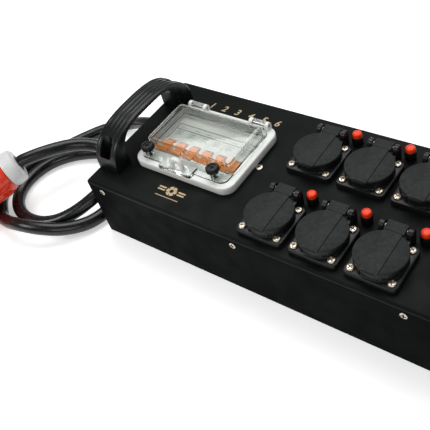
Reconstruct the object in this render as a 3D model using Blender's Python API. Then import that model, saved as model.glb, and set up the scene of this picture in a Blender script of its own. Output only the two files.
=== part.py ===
"""Portable power distribution box.

A steel tray with a lift-off top panel carries two bow handles, a hinged window over
six circuit breakers, six shuttered sockets and six reset buttons.  A rubber supply
lead leaves the left end and ends in a five-pin plug.  Metres, +Z up, the origin at
the middle of the underside, +X along the length, -Y the front.
"""
import math

import bpy
import bmesh
from mathutils import Matrix, Vector

# ---- driving dimensions -------------------------------------------------------------
BOX_LENGTH = 0.430
BOX_WIDTH = 0.180
BOX_HEIGHT = 0.081
SHEET = 0.002                   # steel sheet
GAP = 0.0003                    # between pieces that touch
FIT = 0.0005                    # running clearance round a moving piece

PANEL_RIM = 0.0038              # depth of the panel's folded edge
PANEL_FOLD = 0.0025             # radius of that fold
SKIRT_DEPTH = 0.018             # flange that drops inside the tray
SKIRT_SHEET = 0.0015
TRAY_TOP = BOX_HEIGHT - PANEL_RIM - 0.0006

MODULE_PITCH = 0.0176           # one breaker module
MODULE_COUNT = 6

SOCKET_PITCH = 0.056
SOCKET_COLUMNS = (0.004, 0.004 + SOCKET_PITCH, 0.004 + 2 * SOCKET_PITCH)
SOCKET_ROWS = (-0.057, 0.032)
SOCKET_SEGMENTS = 24
SOCKET_BODY_RADIUS = 0.021
FLANGE_SIDE = 0.050
FLANGE_CORNER = 0.005
FLANGE_TOP = 0.006
COLLAR_RADIUS = 0.023
COLLAR_TOP = 0.0143
CUP_RADIUS = 0.0197
CUP_DEPTH = 0.0175
SOCKET_DEPTH = 0.024            # of the body behind the panel

FLAP_RADIUS = 0.0238
FLAP_THICK = 0.0034
FLAP_AXIS_Y = 0.0295            # behind the socket's centre
FLAP_AXIS_Z = 0.0140            # above the panel
LUG_IN = 0.0113                 # inner face of a hinge lug
LUG_OUT = 0.0153
PIN_RADIUS = 0.0012

BUTTON_OFFSET = (0.023, 0.0378)  # from a socket's centre
BUTTON_COLLAR_RADIUS = 0.0057
BUTTON_BORE = 0.00495
BUTTON_COLLAR_TOP = 0.0095
BUTTON_CAP_RADIUS = 0.0047
BUTTON_CAP_TOP = 0.0136
BUTTON_THREAD_RADIUS = 0.004

HANDLE_WIDTH = 0.029
HANDLE_INSET = 0.0020           # from the end of the box
HANDLE_SPAN = 0.0685            # half the outer span
HANDLE_RISE = 0.0435
GRIP_SPAN = 0.0465              # half the opening
GRIP_RISE = 0.0387
OUTER_POWER = 2.7               # superellipse exponents of the two arches
INNER_POWER = 4.0
POCKET_HALF = 0.0075            # screw pocket in each foot
POCKET_BACK = 0.0500            # from the middle of the box
POCKET_FRONT = 0.0664
POCKET_FLOOR = 0.006            # above the foot
RIB_PITCH = 0.0058
RIB_DEPTH = 0.0009

WINDOW_X = -0.115
WINDOW_Y = 0.001
FRAME_LENGTH = 0.127
FRAME_WIDTH = 0.0975
FRAME_RISE = 0.009
OPENING_LENGTH = 0.107
OPENING_WIDTH = 0.046
DOME_LENGTH = 0.1096
DOME_WIDTH = 0.0625
DOME_Y = 0.00325
LID_LENGTH = 0.1125
LID_WIDTH = 0.0842
LID_SHIFT = -0.0011
LID_FLANGE = 0.002
DOME_RISE = 0.024               # above the panel
DOME_WALL = 0.002
HINGE_Y = 0.0465
HINGE_RISE = 0.0133             # above the panel
HINGE_RADIUS = 0.0039
HINGE_LUGS = (-0.051, -0.031, 0.031, 0.051)
LUG_THICK = 0.004
EYE_X = WINDOW_X - 0.0042
EYE_Y = -0.0415
EYE_OUTER = 0.0088
EYE_INNER = 0.0050
EYE_RISE = 0.0062               # of the ring's centre above the frame
EYE_HALF = 0.0018
EYE_SLOT_HALF = 0.0100          # of the slot it stands in
HASP_HALF = 0.0215
HASP_FRONT = -0.0485
HASP_BACK = -0.0335
HASP_RAISE = 0.002              # above the lid's flange
KNOB_X = (WINDOW_X - 0.0466, WINDOW_X + 0.0395)
KNOB_Y = -0.0356
KNOB_RADIUS = 0.0071
KNOB_BASE = 0.0178              # above the panel
KNOB_TOP = 0.0240
KNOB_SHANK = 0.0103
BOSS_RADIUS = 0.0046
SCREW_HOLE = 0.0024

NOSE_Z = 0.002                  # breaker face above the panel
BREAKER_WIDTH = MODULE_PITCH - GAP
BREAKER_HALF = 0.0415
NOSE_HALF = 0.0225
SHOULDER_DEPTH = 0.016
BREAKER_DEPTH = 0.060
RAIL_HALF = 0.0175
RAIL_RECESS = 0.0047
RAIL_HEIGHT = 0.0075
TOGGLE_Y = -0.009
TOGGLE_Z = BOX_HEIGHT - 0.0035
TOGGLE_RADIUS = 0.0085
TOGGLE_WIDTH = 0.0104
TOGGLE_BAR = 0.0164
TOGGLE_REACH = (0.0108, 0.0155)
TOGGLE_THICK = 0.0046
TOGGLE_NECK = 0.002

GLAND_Y = 0.054
GLAND_Z = 0.030
GLAND_THREAD = 0.012
CABLE_RADIUS = 0.0079
SLEEVE_END = 0.0357             # from the end of the box

PLUG_NECK = Vector((-0.3570, -0.1010, 0.0500))
PLUG_HEADING = math.radians(61)
PLUG_TILT = math.radians(12)
COLLAR_LENGTH = 0.017
PLUG_LENGTH = 0.095
SHROUD_RADIUS = 0.0305
SHROUD_BORE = 0.027
SHROUD_FLOOR = 0.058

# Centre line of the supply lead, from the sleeve to the plug: over the floor in two turns.
CABLE_ROUTE = (
    (-0.2510, 0.0540, 0.0300), (-0.2740, 0.0560, 0.0250), (-0.2960, 0.0580, 0.0160),
    (-0.3170, 0.0520, 0.0098), (-0.3360, 0.0375, 0.0083), (-0.3510, 0.0150, 0.0083),
    (-0.3640, -0.0090, 0.0083), (-0.3860, -0.0570, 0.0083), (-0.3860, -0.1050, 0.0083),
    (-0.3540, -0.1370, 0.0098), (-0.3290, -0.1450, 0.0165), (-0.3030, -0.1445, 0.0222),
    (-0.2775, -0.1370, 0.0205), (-0.2545, -0.1215, 0.0145), (-0.2370, -0.0975, 0.0095),
    (-0.2300, -0.0680, 0.0083), (-0.2310, -0.0410, 0.0083), (-0.2440, -0.0170, 0.0083),
    (-0.2640, -0.0020, 0.0083), (-0.2870, 0.0030, 0.0083), (-0.3100, 0.0000, 0.0083),
    (-0.3310, -0.0100, 0.0083), (-0.3490, -0.0240, 0.0083), (-0.3630, -0.0440, 0.0083),
    (-0.3685, -0.0690, 0.0083), (-0.3640, -0.0940, 0.0083), (-0.3485, -0.1145, 0.0083),
    (-0.3250, -0.1255, 0.0083), (-0.2990, -0.1250, 0.0090), (-0.2770, -0.1150, 0.0112),
    (-0.2595, -0.0980, 0.0165), (-0.2470, -0.0760, 0.0232), (-0.2425, -0.0520, 0.0263),
    (-0.2480, -0.0300, 0.0288), (-0.2620, -0.0155, 0.0320), (-0.2810, -0.0105, 0.0358),
    (-0.3010, -0.0165, 0.0405), (-0.3185, -0.0330, 0.0465), (-0.3330, -0.0590, 0.0530),
)
CABLE_POINTS = 60
CABLE_STRAIGHT = 0.005          # straight run at each end


# ---- materials ------------------------------------------------------------------------
def material(name, colour, roughness, metallic=0.0, alpha=1.0):
    made = bpy.data.materials.new(name)
    made.use_nodes = True
    shader = made.node_tree.nodes["Principled BSDF"]
    shader.inputs["Base Color"].default_value = (*colour, 1.0)
    shader.inputs["Roughness"].default_value = roughness
    shader.inputs["Metallic"].default_value = metallic
    shader.inputs["Alpha"].default_value = alpha
    return made


def make_materials():
    return {
        "steel": material("black powder coat", (0.012, 0.013, 0.012), 0.5, 0.2),
        "handle": material("black handle plastic", (0.018, 0.019, 0.018), 0.45),
        "socket": material("black socket plastic", (0.016, 0.017, 0.016), 0.4),
        "button": material("red button plastic", (0.83, 0.06, 0.015), 0.35),
        "frame": material("white frame plastic", (0.75, 0.76, 0.72), 0.4),
        "clear": material("clear polycarbonate", (0.85, 0.9, 0.88), 0.08, 0.0, 0.25),
        "breaker": material("grey breaker plastic", (0.58, 0.62, 0.59), 0.5),
        "toggle": material("orange toggle plastic", (0.83, 0.2, 0.01), 0.35),
        "zinc": material("zinc plated steel", (0.6, 0.6, 0.58), 0.35, 1.0),
        "brass": material("brass", (0.7, 0.5, 0.2), 0.3, 1.0),
        "rubber": material("black rubber", (0.012, 0.013, 0.013), 0.5),
        "plug": material("red plug plastic", (0.75, 0.03, 0.012), 0.25),
        "collar": material("white plug collar", (0.8, 0.8, 0.78), 0.5),
    }


# ---- mesh tools -------------------------------------------------------------------------
def loft(loops, ring=False):
    """Skin equal-length loops; a ring closes on itself, otherwise both ends are capped."""
    mesh_data = bmesh.new()
    rows = []
    for loop in loops:
        rows.append([mesh_data.verts.new(point) for point in loop])
    count = len(rows[0])
    pairs = list(zip(rows, rows[1:]))
    if ring:
        pairs.append((rows[-1], rows[0]))
    for lower, upper in pairs:
        for i in range(count):
            j = (i + 1) % count
            mesh_data.faces.new((lower[i], lower[j], upper[j], upper[i]))
    if not ring:
        mesh_data.faces.new(reversed(rows[0]))
        mesh_data.faces.new(rows[-1])
    return to_mesh(mesh_data)


def to_mesh(mesh_data):
    bmesh.ops.recalc_face_normals(mesh_data, faces=mesh_data.faces)
    mesh = bpy.data.meshes.new("shape")
    mesh_data.to_mesh(mesh)
    mesh_data.free()
    return mesh


def circle(radius, z, segments=SOCKET_SEGMENTS, centre=(0.0, 0.0)):
    turns = [2 * math.pi * i / segments for i in range(segments)]
    return [(centre[0] + radius * math.cos(t), centre[1] + radius * math.sin(t), z) for t in turns]


def rounded_square(half, corner, z, segments=SOCKET_SEGMENTS):
    """A square with round corners, sampled at the same angles as a circle."""
    points = []
    core = half - corner
    for i in range(segments):
        turn = 2 * math.pi * i / segments
        c = abs(math.cos(turn))
        s = abs(math.sin(turn))
        reach = half / max(c, s)
        if min(c, s) * reach > core:
            along = core * (c + s)
            reach = along + math.sqrt(along * along - 2 * core * core + corner * corner)
        points.append((reach * math.cos(turn), reach * math.sin(turn), z))
    return points


def rounded_rectangle(length, width, corner, z, centre=(0.0, 0.0), steps=3):
    points = []
    quarters = ((1, 1, 0.0), (-1, 1, 0.5), (-1, -1, 1.0), (1, -1, 1.5))
    for side_x, side_y, start in quarters:
        for i in range(steps + 1):
            turn = math.pi * (start + 0.5 * i / steps)
            x = centre[0] + side_x * (length / 2 - corner) + corner * math.cos(turn)
            y = centre[1] + side_y * (width / 2 - corner) + corner * math.sin(turn)
            points.append((x, y, z))
    return points


def turned(profile, segments=SOCKET_SEGMENTS, centre=(0.0, 0.0)):
    """A solid of revolution about Z through (radius, z) points."""
    return loft([circle(radius, z, segments, centre) for radius, z in profile])


def prism_x(outline, x_from, x_to):
    """A (y, z) outline extruded along X."""
    return loft([[(x, y, z) for y, z in outline] for x in (x_from, x_to)])


def prism_y(outline, y_from, y_to):
    """A (x, z) outline extruded along Y."""
    return loft([[(x, y, z) for x, z in outline] for y in (y_from, y_to)])


def block(x_range, y_range, z_range):
    y0, y1 = y_range
    z0, z1 = z_range
    return prism_x([(y0, z0), (y1, z0), (y1, z1), (y0, z1)], *x_range)


def arc(centre, radius, start, end, steps):
    """Points on an arc in a plane, angles in degrees."""
    points = []
    for i in range(steps + 1):
        turn = math.radians(start + (end - start) * i / steps)
        points.append((centre[0] + radius * math.cos(turn), centre[1] + radius * math.sin(turn)))
    return points


def rod_x(radius, x_from, x_to, y, z, segments=16):
    return prism_x(arc((y, z), radius, 0, 360, segments)[:-1], x_from, x_to)


def combine(base, additions=(), cuts=()):
    """Boolean union and difference of closed meshes, as one new mesh."""
    body = bpy.data.objects.new("work", base)
    bpy.context.collection.objects.link(body)
    tools = []
    for operation, pieces in (("UNION", additions), ("DIFFERENCE", cuts)):
        for piece in pieces:
            tool = bpy.data.objects.new("tool", piece)
            bpy.context.collection.objects.link(tool)
            tools.append(tool)
            modifier = body.modifiers.new(operation, "BOOLEAN")
            modifier.operation = operation
            modifier.object = tool
    depsgraph = bpy.context.evaluated_depsgraph_get()
    result = bpy.data.meshes.new_from_object(body.evaluated_get(depsgraph))
    for spare in [body] + tools:
        bpy.data.objects.remove(spare, do_unlink=True)
    return result


def place(name, mesh, finish, location=(0.0, 0.0, 0.0), turn=None):
    """Put a mesh in the scene as one named sub-part."""
    if not mesh.materials:
        mesh.materials.append(finish)
        mesh.shade_smooth()
        mesh.set_sharp_from_angle(angle=math.radians(32))
    part = bpy.data.objects.new(name, mesh)
    bpy.context.collection.objects.link(part)
    pose = turn.to_4x4() if turn is not None else Matrix.Identity(4)
    part.matrix_world = Matrix.Translation(location) @ pose
    return part


# ---- enclosure ----------------------------------------------------------------------------
def sheet_loop(inset, z):
    corner = max(0.0025 - inset, 0.0005)
    return rounded_rectangle(BOX_LENGTH - 2 * inset, BOX_WIDTH - 2 * inset, corner, z)


def make_base_tray():
    shell = loft([
        sheet_loop(0.0008, 0.0),
        sheet_loop(0.0, 0.0008),
        sheet_loop(0.0, TRAY_TOP),
        sheet_loop(SHEET, TRAY_TOP),
        sheet_loop(SHEET, SHEET),
    ])
    end = -BOX_LENGTH / 2
    hole = rod_x(GLAND_THREAD + GAP, end - 0.005, end + 0.005, GLAND_Y, GLAND_Z, 24)
    return combine(shell, cuts=[hole])


def socket_centres():
    return [(x, y) for y in SOCKET_ROWS for x in SOCKET_COLUMNS]


def button_centres():
    return [(x + BUTTON_OFFSET[0], y + BUTTON_OFFSET[1]) for x, y in socket_centres()]


def make_top_panel():
    skirt = SHEET + GAP
    fold = arc((PANEL_FOLD, BOX_HEIGHT - PANEL_FOLD), PANEL_FOLD, 180, 90, 3)
    sheet = loft(
        [sheet_loop(skirt + SKIRT_SHEET, BOX_HEIGHT - SHEET)]
        + [sheet_loop(skirt + SKIRT_SHEET, BOX_HEIGHT - SKIRT_DEPTH)]
        + [sheet_loop(skirt, BOX_HEIGHT - SKIRT_DEPTH)]
        + [sheet_loop(skirt, BOX_HEIGHT - PANEL_RIM)]
        + [sheet_loop(0.0, BOX_HEIGHT - PANEL_RIM)]
        + [sheet_loop(inset, z) for inset, z in fold]
    )
    below = BOX_HEIGHT - 2 * SHEET
    above = BOX_HEIGHT + SHEET
    window = (OPENING_LENGTH + 0.002, OPENING_WIDTH + 0.002, 0.002)
    centre = (WINDOW_X, WINDOW_Y)
    cuts = [loft([rounded_rectangle(*window, z, centre) for z in (below, above)])]
    for spot in socket_centres():
        cuts.append(turned([(SOCKET_BODY_RADIUS + FIT, z) for z in (below, above)], centre=spot))
    for spot in button_centres():
        cuts.append(turned([(BUTTON_THREAD_RADIUS + GAP, z) for z in (below, above)], 16, spot))
    return combine(sheet, cuts=cuts)


# ---- handles --------------------------------------------------------------------------------
def superellipse(span, rise, power, turn):
    c = math.cos(turn)
    s = math.sin(turn)
    y = -span * math.copysign(abs(c) ** (2 / power), c)
    return Vector((y, rise * abs(s) ** (2 / power)))


def rib_profile():
    """(x, depth) across the grip's outer face: round edges, five ribs and four grooves."""
    edge = HANDLE_WIDTH / 2
    points = [(-edge, 0.0016), (-edge + 0.0005, 0.0005), (-edge + 0.0016, 0.0)]
    for i in range(4):
        groove = (i - 1.5) * RIB_PITCH
        points += [(groove - 0.0012, 0.0), (groove, RIB_DEPTH), (groove + 0.0012, 0.0)]
    points += [(-x, depth) for x, depth in reversed(points[:3])]
    return points


def make_handle():
    """A bow of the two arches, ribbed outside, with a screw pocket in each foot."""
    loops = []
    stations = 24
    base = BOX_HEIGHT + GAP
    for i in range(stations + 1):
        turn = math.pi * i / stations
        outer = superellipse(HANDLE_SPAN, HANDLE_RISE, OUTER_POWER, turn)
        inner = superellipse(GRIP_SPAN, GRIP_RISE, INNER_POWER, turn)
        inward = (inner - outer).normalized()
        ribbed = min(1.0, max(0.0, (math.sin(turn) - 0.30) / 0.25))
        loop = [(HANDLE_WIDTH / 2, inner.x, base + inner.y), (-HANDLE_WIDTH / 2, inner.x, base + inner.y)]
        for x, depth in rib_profile():
            fade = 1.0 if abs(x) > 0.0125 else ribbed
            point = outer + inward * depth * fade
            loop.append((x, point.x, base + max(point.y, 0.0)))
        loops.append(loop)
    outline = [(-POCKET_HALF, -POCKET_FRONT), (POCKET_HALF, -POCKET_FRONT)]
    outline += arc((0.0, -POCKET_BACK - POCKET_HALF), POCKET_HALF, 0, 180, 10)
    mirrored = [(x, -y) for x, y in outline]
    heights = (base + POCKET_FLOOR, base + HANDLE_RISE + 0.002)
    front = loft([[(x, y, z) for x, y in outline] for z in heights])
    back = loft([[(x, y, z) for x, y in mirrored] for z in heights])
    return combine(loft(loops), cuts=[front, back])


# ---- window over the breakers -----------------------------------------------------------------
def window_loop(length, width, corner, rise, dy=0.0):
    return rounded_rectangle(length, width, corner, BOX_HEIGHT + rise, (WINDOW_X, WINDOW_Y + dy), 5)


def lug_outline(y, z_axis, radius, z_base, steps=10):
    return [(y + radius, z_base)] + arc((y, z_axis), radius, 0, 180, steps) + [(y - radius, z_base)]


def make_window_frame():
    """A low white frame with hinge lugs behind, a padlock eye in front and screw holes."""
    well = DOME_Y - WINDOW_Y
    body = loft([
        window_loop(FRAME_LENGTH, FRAME_WIDTH, 0.013, GAP),
        window_loop(FRAME_LENGTH, FRAME_WIDTH, 0.013, FRAME_RISE - 0.0012),
        window_loop(FRAME_LENGTH - 0.0024, FRAME_WIDTH - 0.0024, 0.0118, FRAME_RISE),
        window_loop(DOME_LENGTH + 0.0024, DOME_WIDTH + 0.002, 0.004, FRAME_RISE, well),
        window_loop(DOME_LENGTH + 0.0024, DOME_WIDTH + 0.002, 0.004, 0.0028, well),
        window_loop(OPENING_LENGTH, OPENING_WIDTH, 0.002, 0.0028),
        window_loop(OPENING_LENGTH, OPENING_WIDTH, 0.002, GAP),
    ], ring=True)
    top = BOX_HEIGHT + FRAME_RISE
    axis = BOX_HEIGHT + HINGE_RISE
    additions = []
    cuts = []
    for offset in HINGE_LUGS:
        x = WINDOW_X + offset
        outline = lug_outline(HINGE_Y, axis, HINGE_RADIUS, top - 0.001)
        additions.append(prism_x(outline, x - LUG_THICK / 2, x + LUG_THICK / 2))
        cuts.append(rod_x(PIN_RADIUS + GAP, x - LUG_THICK, x + LUG_THICK, HINGE_Y, axis, 12))
    additions.append(make_padlock_eye(top))
    for x in KNOB_X:
        cuts.append(turned([(SCREW_HOLE, top - 0.004), (SCREW_HOLE, top + 0.002)], 12, (x, KNOB_Y)))
    return combine(body, additions, cuts)


def make_padlock_eye(top):
    centre = (EYE_X, top + EYE_RISE)
    foot = top - 0.001
    outline = [(EYE_X + EYE_OUTER, foot)] + arc(centre, EYE_OUTER, 0, 180, 14) + [(EYE_X - EYE_OUTER, foot)]
    outline += [(EYE_X - EYE_INNER, foot)] + arc(centre, EYE_INNER, 180, 0, 10) + [(EYE_X + EYE_INNER, foot)]
    return prism_y(outline, EYE_Y - EYE_HALF, EYE_Y + EYE_HALF)


def make_window_lid():
    """Clear dome and flange, hinge knuckles behind, screw bosses and a hasp tab in front."""
    dome = DOME_Y - WINDOW_Y
    low = FRAME_RISE + GAP
    flange_top = low + LID_FLANGE
    body = loft([
        window_loop(DOME_LENGTH - 2 * DOME_WALL, DOME_WIDTH - 2 * DOME_WALL, 0.003, DOME_RISE - DOME_WALL, dome),
        window_loop(DOME_LENGTH - 2 * DOME_WALL, DOME_WIDTH - 2 * DOME_WALL, 0.003, low, dome),
        window_loop(LID_LENGTH, LID_WIDTH, 0.008, low, LID_SHIFT),
        window_loop(LID_LENGTH, LID_WIDTH, 0.008, flange_top, LID_SHIFT),
        window_loop(DOME_LENGTH, DOME_WIDTH, 0.005, flange_top, dome),
        window_loop(DOME_LENGTH, DOME_WIDTH, 0.005, DOME_RISE - 0.0012, dome),
        window_loop(DOME_LENGTH - 0.0024, DOME_WIDTH - 0.0024, 0.0038, DOME_RISE, dome),
    ])
    low += BOX_HEIGHT
    flange_top += BOX_HEIGHT
    axis = BOX_HEIGHT + HINGE_RISE
    hasp_top = flange_top + HASP_RAISE
    additions = [block((EYE_X - HASP_HALF, EYE_X + HASP_HALF), (HASP_FRONT, HASP_BACK), (low, hasp_top))]
    slot_y = (EYE_Y - 0.0035, EYE_Y + 0.0033)
    cuts = [block((EYE_X - EYE_SLOT_HALF, EYE_X + EYE_SLOT_HALF), slot_y, (low - 0.001, hasp_top + 0.001))]
    for first, second in (HINGE_LUGS[:2], HINGE_LUGS[2:]):
        start = WINDOW_X + first + LUG_THICK / 2 + GAP
        end = WINDOW_X + second - LUG_THICK / 2 - GAP
        additions.append(rod_x(HINGE_RADIUS, start, end, HINGE_Y, axis, 16))
        additions.append(block((start + 0.001, end - 0.001), (0.040, HINGE_Y - 0.002), (low, flange_top + 0.001)))
        cuts.append(rod_x(PIN_RADIUS + GAP, start - 0.002, end + 0.002, HINGE_Y, axis, 12))
    for x in KNOB_X:
        boss_top = BOX_HEIGHT + KNOB_BASE - GAP
        additions.append(turned([(BOSS_RADIUS, flange_top - 0.001), (BOSS_RADIUS, boss_top)], 16, (x, KNOB_Y)))
        cuts.append(turned([(SCREW_HOLE, low - 0.001), (SCREW_HOLE, boss_top + 0.001)], 12, (x, KNOB_Y)))
    return combine(body, additions, cuts)


def make_hinge_pin(first, second):
    start = WINDOW_X + first - LUG_THICK / 2
    end = WINDOW_X + second + LUG_THICK / 2
    return rod_x(PIN_RADIUS, start, end, HINGE_Y, BOX_HEIGHT + HINGE_RISE, 12)


def make_knob():
    """A knurled thumb screw about its own axis, z from the underside of its head."""
    def knurled(radius, z, depth=0.0004):
        points = []
        for i in range(48):
            turn = 2 * math.pi * i / 48
            reach = radius - (depth if i % 2 else 0.0)
            points.append((reach * math.cos(turn), reach * math.sin(turn), z))
        return points

    head = KNOB_TOP - KNOB_BASE
    return loft([
        circle(0.0019, -KNOB_SHANK, 48),
        circle(0.0019, 0.0, 48),
        circle(KNOB_RADIUS - 0.0010, 0.0, 48),
        knurled(KNOB_RADIUS, 0.0008),
        knurled(KNOB_RADIUS, head - 0.0008),
        circle(KNOB_RADIUS - 0.0010, head, 48),
        circle(0.0044, head, 48),
        circle(0.0040, head - 0.0009, 48),
    ])


# ---- breakers ------------------------------------------------------------------------------------
def make_breaker():
    """One module about its own middle plane: nose, shoulders and the notch for the rail."""
    face = BOX_HEIGHT + NOSE_Z
    shoulder = face - SHOULDER_DEPTH
    foot = face - BREAKER_DEPTH
    notch = RAIL_HALF + GAP
    outline = [
        (-NOSE_HALF, face), (-NOSE_HALF, shoulder), (-BREAKER_HALF, shoulder), (-BREAKER_HALF, foot),
        (-notch, foot), (-notch, foot + RAIL_RECESS), (notch, foot + RAIL_RECESS), (notch, foot),
        (BREAKER_HALF, foot), (BREAKER_HALF, shoulder), (NOSE_HALF, shoulder), (NOSE_HALF, face),
    ]
    outline = [(WINDOW_Y + y, z) for y, z in outline]
    body = prism_x(outline, -BREAKER_WIDTH / 2, BREAKER_WIDTH / 2)
    slot = TOGGLE_WIDTH / 2 + GAP
    cavity = rod_x(TOGGLE_RADIUS + FIT, -slot, slot, TOGGLE_Y, TOGGLE_Z, 24)
    return combine(body, cuts=[cavity])


def make_toggle():
    """Barrel, neck and crossbar about the toggle's axis, pointing down to the front."""
    half = TOGGLE_WIDTH / 2
    barrel = rod_x(TOGGLE_RADIUS, -half, half, 0.0, 0.0, 24)
    near, far = TOGGLE_REACH
    thick = TOGGLE_THICK / 2
    neck = block((-half, half), (-TOGGLE_NECK / 2, TOGGLE_NECK / 2), (0.0, far - 0.001))
    bar = block((-TOGGLE_BAR / 2, TOGGLE_BAR / 2), (-thick, thick), (near, far))
    shape = combine(barrel, additions=[neck, bar])
    shape.transform(Matrix.Rotation(math.radians(45), 4, "X"))
    return shape


def module_centre(index):
    return WINDOW_X + (index - (MODULE_COUNT - 1) / 2) * MODULE_PITCH


def make_din_rail():
    """Top-hat rail on two standoffs that rise from the tray floor."""
    crest = BOX_HEIGHT + NOSE_Z - BREAKER_DEPTH + RAIL_RECESS - GAP
    sheet = 0.001
    low = crest - RAIL_HEIGHT
    hat = 0.0125
    outline = [
        (-RAIL_HALF, crest), (-RAIL_HALF, crest - sheet), (-hat - sheet, crest - sheet), (-hat - sheet, low),
        (hat + sheet, low), (hat + sheet, crest - sheet), (RAIL_HALF, crest - sheet), (RAIL_HALF, crest),
        (hat, crest), (hat, low + sheet), (-hat, low + sheet), (-hat, crest),
    ]
    outline = [(WINDOW_Y + y, z) for y, z in outline]
    reach = 0.064
    rail = prism_x(outline, WINDOW_X - reach, WINDOW_X + reach)
    legs = []
    for side in (-1, 1):
        x = WINDOW_X + side * (reach - 0.004)
        y_range = (WINDOW_Y - 0.010, WINDOW_Y + 0.010)
        legs.append(block((x - 0.003, x + 0.003), y_range, (SHEET + GAP, low + sheet / 2)))
    return combine(rail, additions=legs)


def make_terminal_block():
    """Five stepped terminals in a row on the tray floor, beside the breakers."""
    base = SHEET + GAP
    outline = [(-0.012, base), (0.012, base), (0.012, base + 0.014), (0.006, base + 0.014),
               (0.006, base + 0.022), (-0.006, base + 0.022), (-0.006, base + 0.014), (-0.012, base + 0.014)]
    x_middle = WINDOW_X + 0.082
    body = loft([[(x_middle + x, y, z) for x, z in outline] for y in (-0.030, 0.030)])
    slots = []
    for i in range(4):
        y = (i - 1.5) * 0.012
        slots.append(block((x_middle - 0.02, x_middle + 0.02), (y - 0.0006, y + 0.0006), (base + 0.010, base + 0.03)))
    return combine(body, cuts=slots)


def make_earth_bar():
    """Brass earth bar with a clamp screw on every centimetre."""
    base = SHEET + GAP
    y = -BOX_WIDTH / 2 + 0.020
    bar = block((WINDOW_X - 0.040, WINDOW_X + 0.040), (y - 0.004, y + 0.004), (base, base + 0.009))
    screws = []
    for i in range(7):
        spot = (WINDOW_X + (i - 3) * 0.011, y)
        screws.append(turned([(0.0026, base + 0.008), (0.0026, base + 0.012)], 12, spot))
    return combine(bar, additions=screws)


# ---- sockets --------------------------------------------------------------------------------------
def make_socket_body():
    """Flange, collar, cup and rear body about the socket's centre on the panel surface."""
    half = FLANGE_SIDE / 2
    floor = COLLAR_TOP - CUP_DEPTH
    body = loft([
        circle(CUP_RADIUS, floor),
        circle(CUP_RADIUS, COLLAR_TOP),
        circle(COLLAR_RADIUS - 0.0006, COLLAR_TOP),
        circle(COLLAR_RADIUS, COLLAR_TOP - 0.0006),
        circle(COLLAR_RADIUS, FLANGE_TOP),
        rounded_square(half - 0.0007, FLANGE_CORNER, FLANGE_TOP),
        rounded_square(half, FLANGE_CORNER, FLANGE_TOP - 0.0007),
        rounded_square(half, FLANGE_CORNER, GAP),
        circle(SOCKET_BODY_RADIUS, GAP),
        circle(SOCKET_BODY_RADIUS, -SOCKET_DEPTH),
    ])
    lug_profile = [(0.0235, GAP), (FLAP_AXIS_Y + 0.005, GAP)]
    lug_profile += arc((FLAP_AXIS_Y, FLAP_AXIS_Z), 0.005, 0, 150, 8)
    lug_profile += [(0.0235, 0.0115)]
    additions = []
    cuts = []
    for side in (-1, 1):
        additions.append(prism_x(lug_profile, side * LUG_IN, side * LUG_OUT))
        cuts.append(turned([(0.0025, floor - 0.014), (0.0025, floor + 0.002)], 12, (side * 0.0095, 0.0)))
    cuts.append(rod_x(PIN_RADIUS + GAP, -LUG_OUT - 0.001, LUG_OUT + 0.001, FLAP_AXIS_Y, FLAP_AXIS_Z, 12))
    return combine(body, additions, cuts)


def flap_outline(scale=1.0):
    """Plan of the cover about its hinge: disc, straight lifting lip and hinge tab."""
    tab = 0.0094
    lip = 0.0060
    radius = FLAP_RADIUS
    meet_tab = math.degrees(math.asin(tab / radius))
    meet_lip = math.degrees(math.asin(0.0092 / radius))
    points = [(tab, FLAP_AXIS_Y + 0.005), (-tab, FLAP_AXIS_Y + 0.005)]
    points += arc((0.0, 0.0), radius, 90 + meet_tab, 270 - meet_lip, 14)
    points += [(-lip, -radius - 0.0012), (lip, -radius - 0.0012)]
    points += arc((0.0, 0.0), radius, 270 + meet_lip, 450 - meet_tab, 14)
    return [(x * scale, y * scale - FLAP_AXIS_Y) for x, y in points]


def make_socket_flap():
    low = COLLAR_TOP + GAP - FLAP_AXIS_Z
    top = low + FLAP_THICK
    layers = ((1.0, low), (1.0, top - 0.0006), (0.975, top))
    cover = loft([[(x, y, z) for x, y in flap_outline(scale)] for scale, z in layers])
    barrel = rod_x(0.0034, -0.0094, 0.0094, 0.0, 0.0, 16)
    pin = rod_x(PIN_RADIUS, -LUG_OUT + 0.0003, LUG_OUT - 0.0003, 0.0, 0.0, 12)
    return combine(cover, additions=[barrel, pin])


# ---- reset buttons ---------------------------------------------------------------------------------
def make_button_housing():
    return turned([
        (BUTTON_BORE, 0.0010),
        (BUTTON_BORE, BUTTON_COLLAR_TOP),
        (BUTTON_COLLAR_RADIUS - 0.0004, BUTTON_COLLAR_TOP),
        (BUTTON_COLLAR_RADIUS, BUTTON_COLLAR_TOP - 0.0006),
        (BUTTON_COLLAR_RADIUS, GAP),
        (BUTTON_THREAD_RADIUS, GAP),
        (BUTTON_THREAD_RADIUS, -0.020),
    ], 16)


def make_reset_button():
    return turned([
        (BUTTON_CAP_RADIUS, 0.0045),
        (BUTTON_CAP_RADIUS, BUTTON_CAP_TOP - 0.0007),
        (BUTTON_CAP_RADIUS - 0.0007, BUTTON_CAP_TOP),
    ], 16)


# ---- supply lead -----------------------------------------------------------------------------------
def along_x(profile, segments, x_from):
    """A solid turned about the lead's exit axis, (radius, distance to the left of x_from)."""
    rings = []
    for radius, distance in profile:
        ring = arc((GLAND_Y, GLAND_Z), radius, 0, 360, segments)[:-1]
        rings.append([(x_from - distance, y, z) for y, z in ring])
    return loft(rings)


def make_cable_gland():
    """Locknut inside, thread through the wall, hexagon and dome nut outside."""
    end = -BOX_LENGTH / 2
    nut = 0.0165
    return along_x([
        (nut, -0.007), (nut, -SHEET - GAP), (GLAND_THREAD, -SHEET - GAP), (GLAND_THREAD, GAP),
        (nut, GAP), (nut, 0.006), (0.0148, 0.007), (0.0148, 0.012), (0.0130, 0.014),
    ], 24, end)


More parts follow.
